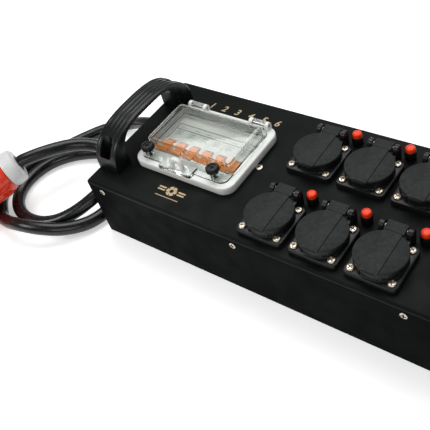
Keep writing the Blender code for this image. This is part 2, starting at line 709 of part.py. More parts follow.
def make_cable_sleeve():
    """Tapered rubber strain relief between the gland and the lead."""
    start = 0.014 + GAP
    return along_x([(0.0120, start), (0.0116, start + 0.004), (0.0092, SLEEVE_END)], 24, -BOX_LENGTH / 2)


def smooth_route(points, count):
    """Evenly spaced points on a Catmull-Rom curve through the route."""
    knots = [Vector(point) for point in points]
    knots = [2 * knots[0] - knots[1]] + knots + [2 * knots[-1] - knots[-2]]
    fine = []
    for a, b, c, d in zip(knots, knots[1:], knots[2:], knots[3:]):
        for step in range(16):
            t = step / 16
            fine.append(0.5 * (2 * b + (c - a) * t + (2 * a - 5 * b + 4 * c - d) * t ** 2
                               + (3 * b - a - 3 * c + d) * t ** 3))
    fine.append(knots[-2])
    travelled = [0.0]
    for before, after in zip(fine, fine[1:]):
        travelled.append(travelled[-1] + (after - before).length)
    spaced = []
    j = 0
    for i in range(count):
        target = travelled[-1] * i / (count - 1)
        while j < len(fine) - 2 and travelled[j + 1] < target:
            j += 1
        share = (target - travelled[j]) / (travelled[j + 1] - travelled[j])
        spaced.append(fine[j].lerp(fine[j + 1], share))
    return spaced


def make_supply_cable(finish):
    curve = bpy.data.curves.new("supply_cable", "CURVE")
    curve.dimensions = "3D"
    curve.bevel_depth = CABLE_RADIUS
    curve.bevel_resolution = 3
    curve.use_fill_caps = True
    collar_end = PLUG_NECK + plug_rearward() * (COLLAR_LENGTH + GAP)
    start = Vector(CABLE_ROUTE[0])
    route = smooth_route(CABLE_ROUTE + (tuple(collar_end),), CABLE_POINTS)
    route.insert(1, start - Vector((CABLE_STRAIGHT, 0.0, 0.0)))
    route.insert(-1, collar_end + plug_rearward() * CABLE_STRAIGHT)
    spline = curve.splines.new("POLY")
    spline.points.add(len(route) - 1)
    for point, spot in zip(spline.points, route):
        point.co = (*spot, 1.0)
    curve.materials.append(finish)
    cable = bpy.data.objects.new("supply_cable", curve)
    bpy.context.collection.objects.link(cable)


def plug_rearward():
    """Direction from the plug's neck back along its axis towards the lead."""
    flat = math.cos(PLUG_TILT)
    return Vector((math.cos(PLUG_HEADING) * flat, math.sin(PLUG_HEADING) * flat, math.sin(PLUG_TILT)))


def plug_turn():
    """Rotation that points local +Z from the plug's neck towards its pins."""
    return (-plug_rearward()).to_track_quat("Z", "Y").to_matrix()


def make_plug_collar():
    return turned([
        (0.0185, -COLLAR_LENGTH), (0.0215, -COLLAR_LENGTH + 0.002), (0.0222, -0.004), (0.0222, -GAP),
    ], 24)


def make_plug_body():
    """Grip, flange and hollow shroud of the plug."""
    return turned([
        (0.0222, 0.0), (0.0238, 0.005), (0.0255, 0.028), (0.0268, 0.046), (0.0325, 0.049),
        (0.0325, 0.056), (SHROUD_RADIUS, 0.058), (SHROUD_RADIUS, PLUG_LENGTH),
        (SHROUD_BORE, PLUG_LENGTH), (SHROUD_BORE, SHROUD_FLOOR),
    ], 32)


def make_plug_pins():
    """Insert with five contact pins, one of them thicker."""
    low = SHROUD_FLOOR + GAP
    face = low + 0.006
    insert = turned([(SHROUD_BORE - FIT, low), (SHROUD_BORE - FIT, face)], 32)
    pins = []
    for i in range(5):
        turn = 2 * math.pi * i / 5
        spot = (0.0155 * math.cos(turn), 0.0155 * math.sin(turn))
        radius = 0.0030 if i == 0 else 0.0025
        profile = [(radius, face - 0.001), (radius, 0.088), (radius - 0.001, 0.090)]
        pins.append(turned(profile, 12, spot))
    return combine(insert, additions=pins)


# ---- assembly --------------------------------------------------------------------------------------
def clear_scene():
    for old in list(bpy.data.objects):
        bpy.data.objects.remove(old, do_unlink=True)


def build_enclosure(finish):
    place("base_tray", make_base_tray(), finish["steel"])
    place("top_panel", make_top_panel(), finish["steel"])
    handle = make_handle()
    reach = BOX_LENGTH / 2 - HANDLE_INSET - HANDLE_WIDTH / 2
    place("handle_left", handle, finish["handle"], (-reach, 0.0, 0.0))
    place("handle_right", handle, finish["handle"], (reach, 0.0, 0.0))


def build_window(finish):
    place("window_frame", make_window_frame(), finish["frame"])
    place("window_lid", make_window_lid(), finish["clear"])
    place("lid_pin_left", make_hinge_pin(*HINGE_LUGS[:2]), finish["zinc"])
    place("lid_pin_right", make_hinge_pin(*HINGE_LUGS[2:]), finish["zinc"])
    knob = make_knob()
    for side, x in zip(("left", "right"), KNOB_X):
        place(f"lid_knob_{side}", knob, finish["socket"], (x, KNOB_Y, BOX_HEIGHT + KNOB_BASE))


def build_breakers(finish):
    breaker = make_breaker()
    toggle = make_toggle()
    for i in range(MODULE_COUNT):
        x = module_centre(i)
        place(f"breaker_{i + 1}", breaker, finish["breaker"], (x, 0.0, 0.0))
        place(f"breaker_toggle_{i + 1}", toggle, finish["toggle"], (x, TOGGLE_Y, TOGGLE_Z))
    place("din_rail", make_din_rail(), finish["zinc"])
    place("terminal_block", make_terminal_block(), finish["breaker"])
    place("earth_bar", make_earth_bar(), finish["brass"])


def build_sockets(finish):
    body = make_socket_body()
    flap = make_socket_flap()
    housing = make_button_housing()
    button = make_reset_button()
    for i, (x, y) in enumerate(socket_centres(), start=1):
        place(f"socket_body_{i}", body, finish["socket"], (x, y, BOX_HEIGHT))
        hinge = (x, y + FLAP_AXIS_Y, BOX_HEIGHT + FLAP_AXIS_Z)
        place(f"socket_flap_{i}", flap, finish["socket"], hinge)
    for i, (x, y) in enumerate(button_centres(), start=1):
        place(f"button_housing_{i}", housing, finish["socket"], (x, y, BOX_HEIGHT))
        place(f"reset_button_{i}", button, finish["button"], (x, y, BOX_HEIGHT))


def build_supply(finish):
    place("cable_gland", make_cable_gland(), finish["socket"])
    place("cable_sleeve", make_cable_sleeve(), finish["rubber"])
    make_supply_cable(finish["rubber"])
    turn = plug_turn()
    place("plug_collar", make_plug_collar(), finish["collar"], PLUG_NECK, turn)
    place("plug_body", make_plug_body(), finish["plug"], PLUG_NECK, turn)
    place("plug_pins", make_plug_pins(), finish["brass"], PLUG_NECK, turn)


def main():
    clear_scene()
    finish = make_materials()
    build_enclosure(finish)
    build_window(finish)
    build_breakers(finish)
    build_sockets(finish)
    build_supply(finish)


main()
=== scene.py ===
import math

import bmesh
import bpy
from mathutils import Matrix, Vector


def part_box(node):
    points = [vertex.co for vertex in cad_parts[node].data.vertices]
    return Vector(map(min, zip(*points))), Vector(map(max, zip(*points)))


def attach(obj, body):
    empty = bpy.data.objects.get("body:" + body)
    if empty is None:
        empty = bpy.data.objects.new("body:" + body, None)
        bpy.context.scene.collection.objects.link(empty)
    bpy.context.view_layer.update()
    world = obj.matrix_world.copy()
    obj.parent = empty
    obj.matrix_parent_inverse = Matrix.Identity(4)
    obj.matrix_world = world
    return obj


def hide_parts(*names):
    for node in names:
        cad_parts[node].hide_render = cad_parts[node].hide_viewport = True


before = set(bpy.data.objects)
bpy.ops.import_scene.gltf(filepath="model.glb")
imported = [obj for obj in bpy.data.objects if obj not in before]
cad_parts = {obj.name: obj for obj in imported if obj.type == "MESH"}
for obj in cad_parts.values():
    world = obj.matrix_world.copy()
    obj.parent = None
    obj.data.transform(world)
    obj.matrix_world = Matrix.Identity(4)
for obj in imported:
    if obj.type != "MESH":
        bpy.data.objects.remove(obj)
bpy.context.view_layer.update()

PANEL = 0.081                     # height of the panel's surface
GAP = 0.0003


# ---- camera, floor and light ---------------------------------------------------------
LENS_MM = 57.77
SENSOR_MM = 36.0
CAMERA_SPOT = (0.2993, -0.3785, 0.5589)
CAMERA_RIGHT = Vector((0.7929, 0.5691, -0.2177))
CAMERA_UP = Vector((-0.3072, 0.6820, 0.6637))
WORLD_GLOW = 0.26
FLOOR_GLOW = 0.42               # keeps the floor white out to the picture's corners
FLOOR_HALF = 6.0


def add_camera():
    data = bpy.data.cameras.new("camera")
    data.sensor_width = SENSOR_MM
    data.lens = LENS_MM
    data.clip_start = 0.02
    camera = bpy.data.objects.new("camera", data)
    bpy.context.collection.objects.link(camera)
    turn = Matrix((CAMERA_RIGHT, CAMERA_UP, CAMERA_RIGHT.cross(CAMERA_UP))).transposed()
    camera.matrix_world = Matrix.Translation(CAMERA_SPOT) @ turn.to_4x4()
    bpy.context.scene.camera = camera


def add_light(name, spot, target, size, power, colour=(1.0, 1.0, 1.0)):
    data = bpy.data.lights.new(name, "AREA")
    data.shape = "RECTANGLE"
    data.size, data.size_y = size
    data.energy = power
    data.color = colour
    lamp = bpy.data.objects.new(name, data)
    bpy.context.collection.objects.link(lamp)
    aim = (Vector(target) - Vector(spot)).to_track_quat("-Z", "Y")
    lamp.matrix_world = Matrix.Translation(spot) @ aim.to_matrix().to_4x4()


def add_studio():
    world = bpy.data.worlds.new("studio")
    world.use_nodes = True
    world.node_tree.nodes["Background"].inputs["Color"].default_value = (1.0, 1.0, 1.0, 1.0)
    world.node_tree.nodes["Background"].inputs["Strength"].default_value = WORLD_GLOW
    bpy.context.scene.world = world
    bpy.context.scene.view_settings.view_transform = "Standard"
    add_light("softbox_over", (-0.35, 0.55, 1.25), (0.0, 0.0, 0.05), (1.3, 1.0), 15.0)
    add_light("softbox_left", (-0.80, -0.95, 1.0), (-0.1, 0.0, 0.05), (0.5, 0.5), 7.0)
    add_light("fill_front", (0.7, -1.1, 0.9), (0.0, 0.0, 0.05), (0.9, 0.7), 4.0)
    data = bmesh.new()
    bmesh.ops.create_grid(data, x_segments=1, y_segments=1, size=FLOOR_HALF)
    mesh = bpy.data.meshes.new("floor")
    data.to_mesh(mesh)
    data.free()
    floor = bpy.data.objects.new("floor", mesh)
    bpy.context.collection.objects.link(floor)
    paint = surface("pale_floor", (0.93, 0.93, 0.93), 0.9, vary=0.01, grain=40.0, bump=0.0)
    paint.node_tree.nodes["Principled BSDF"].inputs["Emission Color"].default_value = (1.0, 1.0, 1.0, 1.0)
    paint.node_tree.nodes["Principled BSDF"].inputs["Emission Strength"].default_value = FLOOR_GLOW
    mesh.materials.append(paint)


# ---- materials ------------------------------------------------------------------------
class Graph:
    """A short way to write a material's nodes."""

    def __init__(self, material):
        self.tree = material.node_tree
        self.shader = self.tree.nodes["Principled BSDF"]
        self.out = self.tree.nodes["Material Output"]
        self.coords = self.node("ShaderNodeTexCoord").outputs["Object"]

    def node(self, kind, **settings):
        made = self.tree.nodes.new(kind)
        for key, value in settings.items():
            setattr(made, key, value)
        return made

    def link(self, source, target):
        self.tree.links.new(source, target)

    def noise(self, scale, detail=3.0, stretch=None):
        made = self.node("ShaderNodeTexNoise")
        made.inputs["Scale"].default_value = scale
        made.inputs["Detail"].default_value = detail
        source = self.coords
        if stretch is not None:
            mapping = self.node("ShaderNodeMapping")
            mapping.inputs["Scale"].default_value = stretch
            self.link(source, mapping.inputs["Vector"])
            source = mapping.outputs["Vector"]
        self.link(source, made.inputs["Vector"])
        return made.outputs["Fac"]

    def span(self, value, low, high, start=0.35, end=0.65):
        made = self.node("ShaderNodeMapRange")
        made.inputs["From Min"].default_value = start
        made.inputs["From Max"].default_value = end
        made.inputs["To Min"].default_value = low
        made.inputs["To Max"].default_value = high
        self.link(value, made.inputs["Value"])
        return made.outputs["Result"]

    def mix(self, factor, first, second):
        made = self.node("ShaderNodeMix", data_type="RGBA")
        self.link(factor, made.inputs["Factor"])
        for socket, colour in ((made.inputs[6], first), (made.inputs[7], second)):
            if isinstance(colour, tuple):
                socket.default_value = (*colour, 1.0)
            else:
                self.link(colour, socket)
        return made.outputs[2]

    def bump(self, height, strength, distance):
        made = self.node("ShaderNodeBump")
        made.inputs["Strength"].default_value = strength
        made.inputs["Distance"].default_value = distance
        self.link(height, made.inputs["Height"])
        self.link(made.outputs["Normal"], self.shader.inputs["Normal"])


def surface(name, colour, roughness, metallic=0.0, vary=0.12, blotch=30.0, grain=900.0, bump=0.15,
            depth=0.00008, specular=0.5, rough_vary=0.08, stretch=None, scuff=None, coat=0.0):
    """A moulded, painted or metal surface: tone and gloss that drift, a fine grain and scuffs."""
    made = bpy.data.materials.new(name)
    made.use_nodes = True
    graph = Graph(made)
    shader = graph.shader
    dark = tuple(c * (1.0 - vary) for c in colour)
    light = tuple(min(c * (1.0 + vary), 1.0) for c in colour)
    tone = graph.mix(graph.span(graph.noise(blotch, 4.0), 0.0, 1.0), dark, light)
    if scuff is not None:
        marks = graph.span(graph.noise(70.0, 8.0, (1.0, 7.0, 3.0)), 0.0, 0.6, 0.66, 0.74)
        tone = graph.mix(marks, tone, scuff)
    graph.link(tone, shader.inputs["Base Color"])
    gloss = graph.noise(blotch * 3.0, 5.0)
    graph.link(graph.span(gloss, roughness - rough_vary, roughness + rough_vary),
               shader.inputs["Roughness"])
    shader.inputs["Metallic"].default_value = metallic
    shader.inputs["Specular IOR Level"].default_value = specular
    shader.inputs["Coat Weight"].default_value = coat
    if bump:
        graph.bump(graph.noise(grain, 2.0, stretch), bump, depth)
    return made


def clear_plastic():
    """Clear polycarbonate that lets lamps through to what lies under it."""
    made = bpy.data.materials.new("clear_polycarbonate")
    made.use_nodes = True
    graph = Graph(made)
    shader = graph.shader
    shader.inputs["Base Color"].default_value = (0.58, 0.592, 0.58, 1.0)
    shader.inputs["Transmission Weight"].default_value = 1.0
    shader.inputs["IOR"].default_value = 1.5
    haze = graph.noise(55.0, 5.0)
    graph.link(graph.span(haze, 0.02, 0.07), shader.inputs["Roughness"])
    open_way = graph.node("ShaderNodeBsdfTransparent")
    open_way.inputs["Color"].default_value = (0.78, 0.80, 0.79, 1.0)
    path = graph.node("ShaderNodeLightPath")
    either = graph.node("ShaderNodeMixShader")
    graph.link(path.outputs["Is Shadow Ray"], either.inputs[0])
    graph.link(shader.outputs[0], either.inputs[1])
    graph.link(open_way.outputs[0], either.inputs[2])
    graph.link(either.outputs[0], graph.out.inputs["Surface"])
    return made


LOOK = {
    # one powder coat in two tones: the panel's lighter colour is painted sheen where the top catches the
    # overhead light
    "panel": surface("panel_powder_coat_painted_sheen", (0.0052, 0.0066, 0.0057), 0.40, vary=0.25, blotch=14.0,
                     grain=1500.0,
                     bump=0.16, specular=0.05, scuff=(0.013, 0.015, 0.0125)),
    # the tray's darker colour is painted shade on the sides, which face away from the light
    "tray": surface("tray_powder_coat_painted_shade", (0.0026, 0.0034, 0.0031), 0.5, vary=0.2, blotch=14.0, grain=1500.0,
                    bump=0.2, specular=0.012),
    "handle": surface("handle_nylon", (0.0042, 0.0051, 0.0054), 0.31, grain=1800.0, bump=0.18,
                      specular=0.30),
    "socket": surface("socket_plastic", (0.006, 0.0065, 0.0065), 0.38, grain=1500.0, bump=0.15,
                      specular=0.3),
    "flap": surface("flap_plastic", (0.0185, 0.0215, 0.0198), 0.58, vary=0.18, blotch=90.0, grain=2200.0,
                    bump=0.3, specular=0.14, scuff=(0.034, 0.037, 0.033)),
    "seal": surface("seal_rubber", (0.008, 0.008, 0.008), 0.7, grain=900.0, bump=0.2, specular=0.3),
    "button": surface("button_red", (0.90, 0.045, 0.006), 0.36, vary=0.06, grain=900.0, bump=0.05,
                      specular=0.3),
    "frame": surface("frame_white", (0.78, 0.785, 0.76), 0.42, vary=0.03, grain=1600.0, bump=0.12),
    "clear": clear_plastic(),
    "breaker": surface("breaker_grey", (0.74, 0.755, 0.725), 0.5, vary=0.03, grain=2000.0, bump=0.25),
    # dark plastic for the plug's insert; on the breakers the same dark fills the face slot as painted shade
    "groove": surface("dark_insert_and_slot_shade", (0.02, 0.022, 0.022), 0.7, grain=900.0, bump=0.1),
    "toggle": surface("toggle_orange", (0.86, 0.25, 0.004), 0.42, vary=0.06, grain=1500.0, bump=0.1),
    "zinc": surface("zinc_plate", (0.50, 0.50, 0.48), 0.36, metallic=1.0, grain=500.0, bump=0.1,
                    stretch=(1.0, 8.0, 1.0)),
    "screw": surface("screw_steel", (0.62, 0.55, 0.46), 0.34, metallic=1.0, vary=0.1, blotch=300.0,
                     grain=1500.0, bump=0.1),
    "brass": surface("brass", (0.75, 0.55, 0.24), 0.3, metallic=1.0, grain=1200.0, bump=0.08),
    "rubber": surface("cable_rubber", (0.0035, 0.0042, 0.0045), 0.25, vary=0.3, blotch=40.0, grain=700.0,
                      bump=0.1, depth=0.0001, specular=0.42, scuff=(0.007, 0.007, 0.007)),
    "plug": surface("plug_red", (0.74, 0.035, 0.006), 0.22, vary=0.06, grain=700.0, bump=0.05, coat=0.3),
    "collar": surface("collar_grey", (0.68, 0.69, 0.68), 0.45, vary=0.05, grain=1200.0, bump=0.15),
    "print": surface("gold_print", (0.50, 0.37, 0.21), 0.5, vary=0.12, blotch=500.0, grain=1500.0,
                     bump=0.1),
    "green": surface("green_print", (0.10, 0.42, 0.26), 0.6, grain=1500.0, bump=0.05),
    "ink": surface("grey_print", (0.25, 0.27, 0.27), 0.6, grain=1500.0, bump=0.05),
}


# ---- mesh tools -------------------------------------------------------------------------
class Solid:
    """Closed shells gathered in one mesh."""

    def __init__(self):
        self.bm = bmesh.new()

    def loft(self, loops, ring=False, turn=None):
        rows = []
        for loop in loops:
            points = [Vector(p) for p in loop]
            if turn is not None:
                points = [turn @ p for p in points]
            rows.append([self.bm.verts.new(p) for p in points])
        count = len(rows[0])
        pairs = list(zip(rows, rows[1:]))
        if ring:
            pairs.append((rows[-1], rows[0]))
        faces = []
        for low, high in pairs:
            for i in range(count):
                j = (i + 1) % count
                faces.append(self.bm.faces.new((low[i], low[j], high[j], high[i])))
        if not ring:
            faces.append(self.bm.faces.new(reversed(rows[0])))
            faces.append(self.bm.faces.new(rows[-1]))
        bmesh.ops.recalc_face_normals(self.bm, faces=faces)
        return self

    def turned(self, profile, segments=48, at=(0.0, 0.0, 0.0), turn=None, wave=0, depth=0.0):
        """A solid of revolution from (radius, z) points; wave flutes it by depth."""
        loops = []
        for radius, z in profile:
            loop = []
            for i in range(segments):
                angle = 2 * math.pi * i / segments
                reach = radius - depth * (0.5 - 0.5 * math.cos(wave * angle)) if wave else radius
                loop.append((at[0] + reach * math.cos(angle), at[1] + reach * math.sin(angle), at[2] + z))
            loops.append(loop)
        return self.loft(loops, turn=turn)

    def prism_x(self, outline, x0, x1, turn=None):
        return self.loft([[(x, y, z) for y, z in outline] for x in (x0, x1)], turn=turn)

    def prism_y(self, outline, y0, y1, turn=None):
        return self.loft([[(x, y, z) for x, z in outline] for y in (y0, y1)], turn=turn)

    def prism_z(self, outline, z0, z1, turn=None):
        return self.loft([[(x, y, z) for x, y in outline] for z in (z0, z1)], turn=turn)

    def block(self, low, high, turn=None):
        outline = [(low[0], low[1]), (high[0], low[1]), (high[0], high[1]), (low[0], high[1])]
        return self.prism_z(outline, low[2], high[2], turn)

    def rod(self, radius, start, end, segments=20):
        """A round bar between two points."""
        start = Vector(start)
        along = Vector(end) - start
        turn = Matrix.Translation(start) @ along.to_track_quat("Z", "Y").to_matrix().to_4x4()
        return self.turned([(radius, 0.0), (radius, along.length)], segments, turn=turn)

    def tube(self, path, radius, segments=10):
        """A round wire along a path."""
        points = [Vector(p) for p in path]
        loops = []
        side = Vector((0.0, 0.0, 1.0))
        for i, point in enumerate(points):
            along = (points[min(i + 1, len(points) - 1)] - points[max(i - 1, 0)]).normalized()
            side = (side - along * side.dot(along)).normalized()
            other = along.cross(side)
            loops.append([point + side * radius * math.cos(a) + other * radius * math.sin(a)
                          for a in (2 * math.pi * k / segments for k in range(segments))])
        return self.loft(loops)

    def mesh(self):
        made = bpy.data.meshes.new("shape")
        self.bm.to_mesh(made)
        self.bm.free()
        return made


def arc(centre, radius, start, end, steps):
    points = []
    for i in range(steps + 1):
        angle = math.radians(start + (end - start) * i / steps)
        points.append((centre[0] + radius * math.cos(angle), centre[1] + radius * math.sin(angle)))
    return points


def rounded(length, width, corner, z, centre=(0.0, 0.0), steps=6):
    """A rectangle with round corners at height z."""
    points = []
    for side_x, side_y, start in ((1, 1, 0), (-1, 1, 90), (-1, -1, 180), (1, -1, 270)):
        middle = (centre[0] + side_x * (length / 2 - corner), centre[1] + side_y * (width / 2 - corner))
        points += [(x, y, z) for x, y in arc(middle, corner, start, start + 90, steps)]
    return points


def combine(base, additions=(), cuts=()):
    """Union and difference of closed meshes, as one new mesh."""
    body = bpy.data.objects.new("work", base)
    bpy.context.collection.objects.link(body)
    tools = []
    for operation, meshes in (("UNION", additions), ("DIFFERENCE", cuts)):
        for mesh in meshes:
            tool = bpy.data.objects.new("tool", mesh)
            bpy.context.collection.objects.link(tool)
            tools.append(tool)
            modifier = body.modifiers.new(operation, "BOOLEAN")
            modifier.operation = operation
            modifier.object = tool
    result = bpy.data.meshes.new_from_object(body.evaluated_get(bpy.context.evaluated_depsgraph_get()))
    for spare in [body] + tools:
        bpy.data.objects.remove(spare, do_unlink=True)
    return result


def piece(name, mesh, look, body, at=(0.0, 0.0, 0.0), turn=None, stands_for=(), sharp=35, bevel=0.0):
    """Put a mesh in the scene as a named piece that rides on a body."""
    if not mesh.materials:
        mesh.materials.append(LOOK[look])
        mesh.shade_smooth()
        mesh.set_sharp_from_angle(angle=math.radians(sharp))
    made = bpy.data.objects.new(name, mesh)
    bpy.context.collection.objects.link(made)
    pose = turn.to_4x4() if turn is not None else Matrix.Identity(4)
    made.matrix_world = Matrix.Translation(at) @ pose
    if bevel:
        rounding = made.modifiers.new("edges", "BEVEL")
        rounding.width = bevel
        rounding.segments = 2
        rounding.limit_method = "ANGLE"
        rounding.angle_limit = math.radians(40)
        rounding.harden_normals = True
    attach(made, body)
    if stands_for:
        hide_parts(*stands_for)
    return made


def dress(node, look):
    """Give a CAD node its material."""
    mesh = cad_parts[node].data
    mesh.materials.clear()
    mesh.materials.append(LOOK[look])


def middle(node):
    low, high = (Vector(corner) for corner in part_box(node))
    return (low + high) / 2


# ---- supply lead --------------------------------------------------------------------------
GLAND = Vector((-0.215, 0.054, 0.030))
CABLE_RADIUS = 0.0079
PLUG_NECK = Vector((-0.3570, -0.1010, 0.0500))
PLUG_HEADING = math.radians(61)
PLUG_TILT = math.radians(12)
COLLAR_LENGTH = 0.017
CABLE_ROUTE = (
    (-0.2510, 0.0540, 0.0300), (-0.2740, 0.0560, 0.0250), (-0.2960, 0.0580, 0.0160),
    (-0.3170, 0.0520, 0.0098), (-0.3360, 0.0375, 0.0083), (-0.3510, 0.0150, 0.0083),
    (-0.3640, -0.0090, 0.0083), (-0.3860, -0.0570, 0.0083), (-0.3860, -0.1050, 0.0083),
    (-0.3540, -0.1370, 0.0098), (-0.3290, -0.1450, 0.0165), (-0.3030, -0.1445, 0.0222),
    (-0.2775, -0.1370, 0.0205), (-0.2545, -0.1215, 0.0145), (-0.2370, -0.0975, 0.0095),
    (-0.2300, -0.0680, 0.0083), (-0.2310, -0.0410, 0.0083), (-0.2440, -0.0170, 0.0083),
    (-0.2640, -0.0020, 0.0083), (-0.2870, 0.0030, 0.0083), (-0.3100, 0.0000, 0.0083),
    (-0.3310, -0.0100, 0.0083), (-0.3490, -0.0240, 0.0083), (-0.3630, -0.0440, 0.0083),
    (-0.3685, -0.0690, 0.0083), (-0.3640, -0.0940, 0.0083), (-0.3485, -0.1145, 0.0083),
    (-0.3250, -0.1255, 0.0083), (-0.2990, -0.1250, 0.0090), (-0.2770, -0.1150, 0.0112),
    (-0.2595, -0.0980, 0.0165), (-0.2470, -0.0760, 0.0232), (-0.2425, -0.0520, 0.0263),
    (-0.2480, -0.0300, 0.0288), (-0.2620, -0.0155, 0.0320), (-0.2810, -0.0105, 0.0358),
    (-0.3010, -0.0165, 0.0405), (-0.3185, -0.0330, 0.0465), (-0.3330, -0.0590, 0.0530),
)


def smooth_route(points, count):
    """Evenly spaced points on a Catmull-Rom curve through the route."""
    knots = [Vector(point) for point in points]
    knots = [2 * knots[0] - knots[1]] + knots + [2 * knots[-1] - knots[-2]]
    fine = []
    for a, b, c, d in zip(knots, knots[1:], knots[2:], knots[3:]):
        for step in range(16):
            t = step / 16
            fine.append(0.5 * (2 * b + (c - a) * t + (2 * a - 5 * b + 4 * c - d) * t ** 2
                               + (3 * b - a - 3 * c + d) * t ** 3))
    fine.append(knots[-2])
    travelled = [0.0]
    for before, after in zip(fine, fine[1:]):
        travelled.append(travelled[-1] + (after - before).length)
    spaced = []
    j = 0
    for i in range(count):
        target = travelled[-1] * i / (count - 1)
        while j < len(fine) - 2 and travelled[j + 1] < target:
            j += 1
        share = (target - travelled[j]) / (travelled[j + 1] - travelled[j])
        spaced.append(fine[j].lerp(fine[j + 1], share))
    return spaced


def plug_rearward():
    flat = math.cos(PLUG_TILT)
    return Vector((math.cos(PLUG_HEADING) * flat, math.sin(PLUG_HEADING) * flat, math.sin(PLUG_TILT)))


def add_cable():
    rearward = plug_rearward()
    start = Vector(CABLE_ROUTE[0])
    end = PLUG_NECK + rearward * (COLLAR_LENGTH + GAP)
    lead_in = (tuple(start), tuple(start - Vector((0.006, 0.0, 0.0))))
    lead_out = (tuple(end + rearward * 0.006), tuple(end))
    route = smooth_route(lead_in + CABLE_ROUTE[1:] + lead_out, 200)
    curve = bpy.data.curves.new("supply_lead", "CURVE")
    curve.dimensions = "3D"
    curve.bevel_depth = CABLE_RADIUS
    curve.bevel_resolution = 7
    curve.use_fill_caps = True
    spline = curve.splines.new("POLY")
    spline.points.add(len(route) - 1)
    for point, spot in zip(spline.points, route):
        point.co = (*spot, 1.0)
    spline.use_smooth = True
    curve.materials.append(LOOK["rubber"])
    cable = bpy.data.objects.new("supply_lead", curve)
    bpy.context.collection.objects.link(cable)
    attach(cable, "box")
    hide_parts("supply_cable")


def along_exit():
    """Local +Z runs out of the left wall along the lead's exit."""
    return Matrix.Translation(GLAND) @ Vector((-1.0, 0.0, 0.0)).to_track_quat("Z", "Y").to_matrix().to_4x4()


def hexagon(radius, z):
    """Forty-eight points on a hexagon of that corner radius."""
    points = []
    for i in range(48):
        angle = 2 * math.pi * i / 48
        local = (angle + math.pi / 6) % (math.pi / 3) - math.pi / 6
        reach = radius * math.cos(math.pi / 6) / math.cos(local)
        points.append((reach * math.cos(angle), reach * math.sin(angle), z))
    return points


def add_gland():
    turn = along_exit()
    body = Solid()
    hexed = [(0.0150, 0.0004), (0.0164, 0.0010), (0.0164, 0.0062), (0.0150, 0.0068)]
    body.loft([hexagon(radius, z) for radius, z in hexed], turn=turn)
    body.turned([(0.0164, -0.0066), (0.0164, -0.0024)], 48, turn=turn)
    body.turned([(0.0118, -0.0068), (0.0118, 0.0080)], 48, turn=turn)
    dome = [(0.0126, 0.0072), (0.0147, 0.0074), (0.0147, 0.0112)]
    dome += [(0.0112 + r, 0.0108 + z) for r, z in arc((0.0, 0.0), 0.0032, 0, 90, 5)] + [(0.0105, 0.0140)]
    body.turned(dome, 96, turn=turn, wave=16, depth=0.0007)
    nut = piece("gland_nut", body.mesh(), "socket", "box", stands_for=("cable_gland",))
    sleeve = Solid()
    profile = [(0.0090, 0.0140), (0.0116, 0.0143), (0.0119, 0.0150)]
    for i in range(5):
        z = 0.0165 + i * 0.0034
        wide = 0.0117 - i * 0.0005
        profile += [(wide, z), (wide - 0.0009, z + 0.0004), (wide - 0.0009, z + 0.0012),
                    (wide - 0.0003, z + 0.0016)]
    profile += [(0.0093, 0.0345), (0.0090, 0.0355), (0.0084, 0.0357)]
    sleeve.turned(profile, 48, turn=turn)
    relief = piece("strain_relief", sleeve.mesh(), "seal", "box", stands_for=("cable_sleeve",), sharp=50)
    return [nut, relief]


# ---- plug --------------------------------------------------------------------------------
PLUG_CONTACTS = 5
PLUG_CIRCLE = 0.0155            # the contacts stand on it
PLUG_RIDGES = 12


